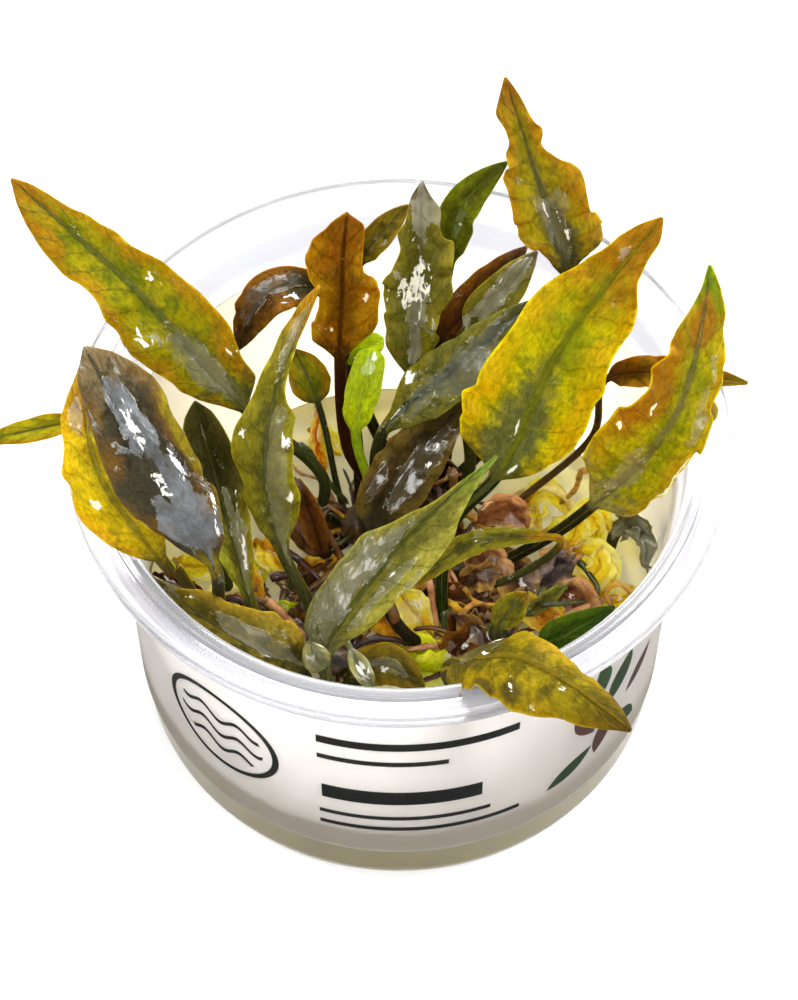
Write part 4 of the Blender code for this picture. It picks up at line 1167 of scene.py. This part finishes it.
class PLANTCUP_OT_scraps(bpy.types.Operator):
    """Make the scraps of old leaf that lie on the gel"""
    bl_idname = "plantcup.scraps"
    bl_label = "Leaf Scraps"

    def execute(self, context):
        settings = context.scene.plant_leaves
        groups = defaultdict(list)
        rng = np.random.default_rng(11)

        def shiny():
            """Where a painted white glint has its middle, along and across."""
            return rng.uniform(0.2, 0.8), rng.uniform(-0.7, 0.7)

        for kind, (x, y, z), reach, count, longest, widest in BEDS:
            for _ in range(count):
                heading, away = rng.uniform(0, 2 * pi, 2)
                far = reach * rng.uniform() ** 0.5
                spot = np.array([x + far * cos(away), y + far * sin(away), z - 1.5 * far / reach])
                spot[:2] *= min(1, SCRAP_REACH / np.hypot(*spot[:2]))
                ahead = np.array([cos(heading), sin(heading), rng.uniform(-0.15, 0.5)])
                length = longest * rng.uniform(0.55, 1)
                rise = rng.uniform(0.5, 2.5)
                places = [spot + ahead * length * k + (0, 0, rise * lift)
                          for k, lift in ((-0.5, -0.5), (-0.4, 0), (0.05, 1), (0.5, 0.2))]
                wide = widest * rng.uniform(0.5, 1)
                fold, roll = tuple(rng.uniform(-10, 40, 2)), tuple(rng.uniform(-70, 90, 2))
                row = blade(places, fold, roll, (0.4, 2), width=wide, across=9, step=0.45, crumple=0.5,
                            film=[(0.5, 0, 0.6, 1)], glint=[(*shiny(), 0.3, 0.5)], **SCRAP)
                groups[kind].append(leaf_grid(row, places, settings, int(rng.integers(1e6))))
        # Dead sheaths stand round each crown
        pieces = list(SHREDS)
        for x, y in CROWNS.values():
            for kind in ("red_brown", "rose", "mauve_brown", "honey", "red_brown", "rose"):
                turn, lean = rng.uniform(0, 2 * pi), rng.uniform(0.8, 1.5)
                places = [(x + far * lean * cos(turn), y + far * lean * sin(turn), high)
                          for far, high in ((2.6, 18.8), (3.6, 21), (5.2, rng.uniform(22.5, 26)))]
                pieces.append((kind, places, rng.uniform(2.2, 3.6), 35, 40, 0.25))
        for number, (kind, places, width, fold, roll, crumple) in enumerate(pieces):
            base, middle = np.array(places[:2])
            film = (rng.uniform(0.2, 0.9), rng.uniform(-0.8, 0.8), 0.4, 0.6)
            row = blade([base + 0.15 * (base - middle)] + places, (fold, fold), (roll, -0.6 * roll),
                        (0.5, 3), width=width, across=12, step=0.4, crumple=crumple, film=[film],
                        glint=[(*shiny(), 0.3, 0.4)], **SCRAP)
            groups[kind].append(leaf_grid(row, row["places"], settings, SHRED_SEED + number))
        for kind, made in groups.items():
            rings, marks = joined(made)
            piece = closed_grid("scraps_" + kind, rings, finish_of(kind, settings), marks)
            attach(piece, "root")
        return {"FINISHED"}


class PLANTCUP_OT_strands(bpy.types.Operator):
    """Make the old stalks and the roots"""
    bl_idname = "plantcup.strands"
    bl_label = "Stalks and Roots"

    def execute(self, context):
        rng = np.random.default_rng(7)
        groups = defaultdict(list)
        for kind, thick, places in STRANDS:
            groups[kind].append(tube(places, thick / 2, sides=12))
        # Roots leave each crown's foot, wander over the gel and dip into it at their ends
        for x, y in CROWNS.values():
            for kind in rng.choice(["pale", "amber", "pale", "rust", "pink"], ROOTS):
                heading = rng.uniform(0, 2 * pi) + np.concatenate([[0], np.cumsum(rng.normal(0, 0.45, 6))])
                reach = rng.uniform(1.2, 3.2)
                steps = np.stack([np.cos(heading), np.sin(heading)], -1) * reach
                plan = np.array([x, y]) + 1.5 * steps[0] / reach + np.cumsum(steps, axis=0)
                plan *= np.minimum(1, ROOT_REACH / np.linalg.norm(plan, axis=1))[:, None]
                arch = rng.uniform(0, 2.6) * np.sin(np.linspace(0.6, pi + 0.5, 7))
                height = 18.6 + arch + rng.normal(0, 0.25, 7)
                places = np.concatenate([plan, height[:, None]], 1)
                groups[str(kind)].append(tube(places, rng.uniform(0.16, 0.42), sides=7))
        # Old stalks lean out of each crown, arch a little and lie down at their ends; the near-black plum
        # ones also paint shade into the gaps of the bed
        for x, y in CROWNS.values():
            for kind in rng.choice(["plum", "rust", "amber", "pink", "plum", "olive"], OLD_STALKS):
                turn = rng.uniform(0, 2 * pi)
                bend = turn + np.linspace(0, rng.uniform(-1.2, 1.2), 5)
                far = np.linspace(rng.uniform(1, 3), rng.uniform(7, 13), 5)
                plan = np.array([x, y]) + np.stack([np.cos(bend), np.sin(bend)], -1) * far[:, None]
                plan *= np.minimum(1, ROOT_REACH / np.linalg.norm(plan, axis=1))[:, None]
                arch = rng.uniform(0.5, 5) * np.sin(np.linspace(0.4, pi, 5))
                height = 20 + arch + rng.uniform(-0.5, 1)
                places = np.concatenate([plan, height[:, None]], 1)
                groups[str(kind)].append(tube(places, rng.uniform(0.3, 0.7), sides=8))
        for kind, tubes in groups.items():
            colour, dark = STRAND_COLOURS[kind]
            piece = closed_grid("strands_" + kind, tubes, strand_tissue("old_stalk_" + kind, colour, dark))
            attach(piece, "root")
        return {"FINISHED"}


def put(name, data, place, target):
    """A lamp or camera at place, turned to face target."""
    obj = bpy.data.objects.new(name, data)
    obj.location = place
    obj.rotation_euler = (Vector(target) - Vector(place)).to_track_quat("-Z", "Y").to_euler()
    bpy.context.scene.collection.objects.link(obj)
    return obj


class PLANTCUP_OT_stage(bpy.types.Operator):
    """Make the floor, the lights and the camera"""
    bl_idname = "plantcup.stage"
    bl_label = "Stage"

    def execute(self, context):
        scene = context.scene
        settings = scene.plant_stage
        scene.view_settings.view_transform = "Standard"
        mat, add = new_material("opal_light_table")
        # The table is dimmer behind the cup, so the clear flange shows against it
        where = add("SeparateXYZ", {0: add("TexCoord").outputs["Object"]})
        dim = add("MapRange", {0: where.outputs[1], 1: -0.03, 2: 0.12, 3: 1.0, 4: 0.64})
        tone = add("VectorMath", {0: linear(settings.floor)[:3], 1: dim}, operation="MULTIPLY")
        matt = add("BsdfPrincipled", {
            "Base Color": tone, "Roughness": 0.9, "Specular IOR Level": 0.1,
            "Emission Color": tone, "Emission Strength": settings.glow})
        add("OutputMaterial", {"Surface": matt})
        mesh = bpy.data.meshes.new("floor")
        corners = [(x * FLOOR_REACH, y * FLOOR_REACH, -FLOOR_DROP)
                   for x, y in ((-1, -1), (1, -1), (1, 1), (-1, 1))]
        mesh.from_pydata(corners, [], [(0, 1, 2, 3)])
        mesh.materials.append(mat)
        floor = bpy.data.objects.new("floor", mesh)
        scene.collection.objects.link(floor)
        world = bpy.data.worlds.new("studio")
        world.use_nodes = True
        back = world.node_tree.nodes["Background"]
        back.inputs["Color"].default_value = (1, 1, 1, 1)
        back.inputs["Strength"].default_value = settings.sky
        scene.world = world
        # Soft boxes that face the cup: place, width, height, share of the key's power
        for name, place, wide, high, share in (
                ("overhead", (-0.08, -0.42, 0.7), 0.5, 0.4, 1.0),
                ("back", (0.05, 0.55, 0.5), 0.5, 0.35, 2.6),
                ("side", (0.6, 0.2, 0.4), 0.4, 0.4, 1.2),
                ("strip_left", (-0.5, 0.05, 0.55), 0.03, 0.35, 0.35),
                ("strip_right", (0.35, -0.35, 0.7), 0.03, 0.3, 0.3)):
            data = bpy.data.lights.new(name, "AREA")
            data.shape = "RECTANGLE"
            data.size, data.size_y = wide, high
            data.energy = settings.key * share
            put(name, data, place, LAMP_TARGET)
        data = bpy.data.cameras.new("camera")
        data.lens = settings.lens
        data.clip_start = 0.01
        scene.camera = put("camera", data, CAMERA, CAMERA_TARGET)
        return {"FINISHED"}


class PLANTCUP_PT_panel(bpy.types.Panel):
    """The plant cup's steps and settings"""
    bl_idname = "PLANTCUP_PT_panel"
    bl_label = "Plant Cup"
    bl_space_type = "VIEW_3D"
    bl_region_type = "UI"
    bl_category = "Plant Cup"

    def draw(self, context):
        for group in (context.scene.plant_cup, context.scene.plant_leaves, context.scene.plant_stage):
            for name in group.__annotations__:
                self.layout.prop(group, name)
        for step in OPERATORS:
            self.layout.operator(step.bl_idname)


GROUPS = {"plant_cup": CupSettings, "plant_leaves": LeafSettings, "plant_stage": StageSettings}
OPERATORS = (PLANTCUP_OT_stage, PLANTCUP_OT_cup, PLANTCUP_OT_gel, PLANTCUP_OT_label,
             PLANTCUP_OT_crowns, PLANTCUP_OT_leaves, PLANTCUP_OT_loose, PLANTCUP_OT_scraps,
             PLANTCUP_OT_strands)


def register():
    for cls in (*GROUPS.values(), *OPERATORS, PLANTCUP_PT_panel):
        bpy.utils.register_class(cls)
    for name, cls in GROUPS.items():
        setattr(bpy.types.Scene, name, PointerProperty(type=cls))


def unregister():
    for name in GROUPS:
        delattr(bpy.types.Scene, name)
    for cls in reversed((*GROUPS.values(), *OPERATORS, PLANTCUP_PT_panel)):
        bpy.utils.unregister_class(cls)


def main():
    """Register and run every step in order."""
    register()
    bpy.ops.plantcup.stage()
    bpy.ops.plantcup.cup()
    bpy.ops.plantcup.gel()
    bpy.ops.plantcup.label()
    bpy.ops.plantcup.crowns()
    bpy.ops.plantcup.leaves()
    bpy.ops.plantcup.loose()
    bpy.ops.plantcup.scraps()
    bpy.ops.plantcup.strands()


if __name__ == "__main__":
    main()
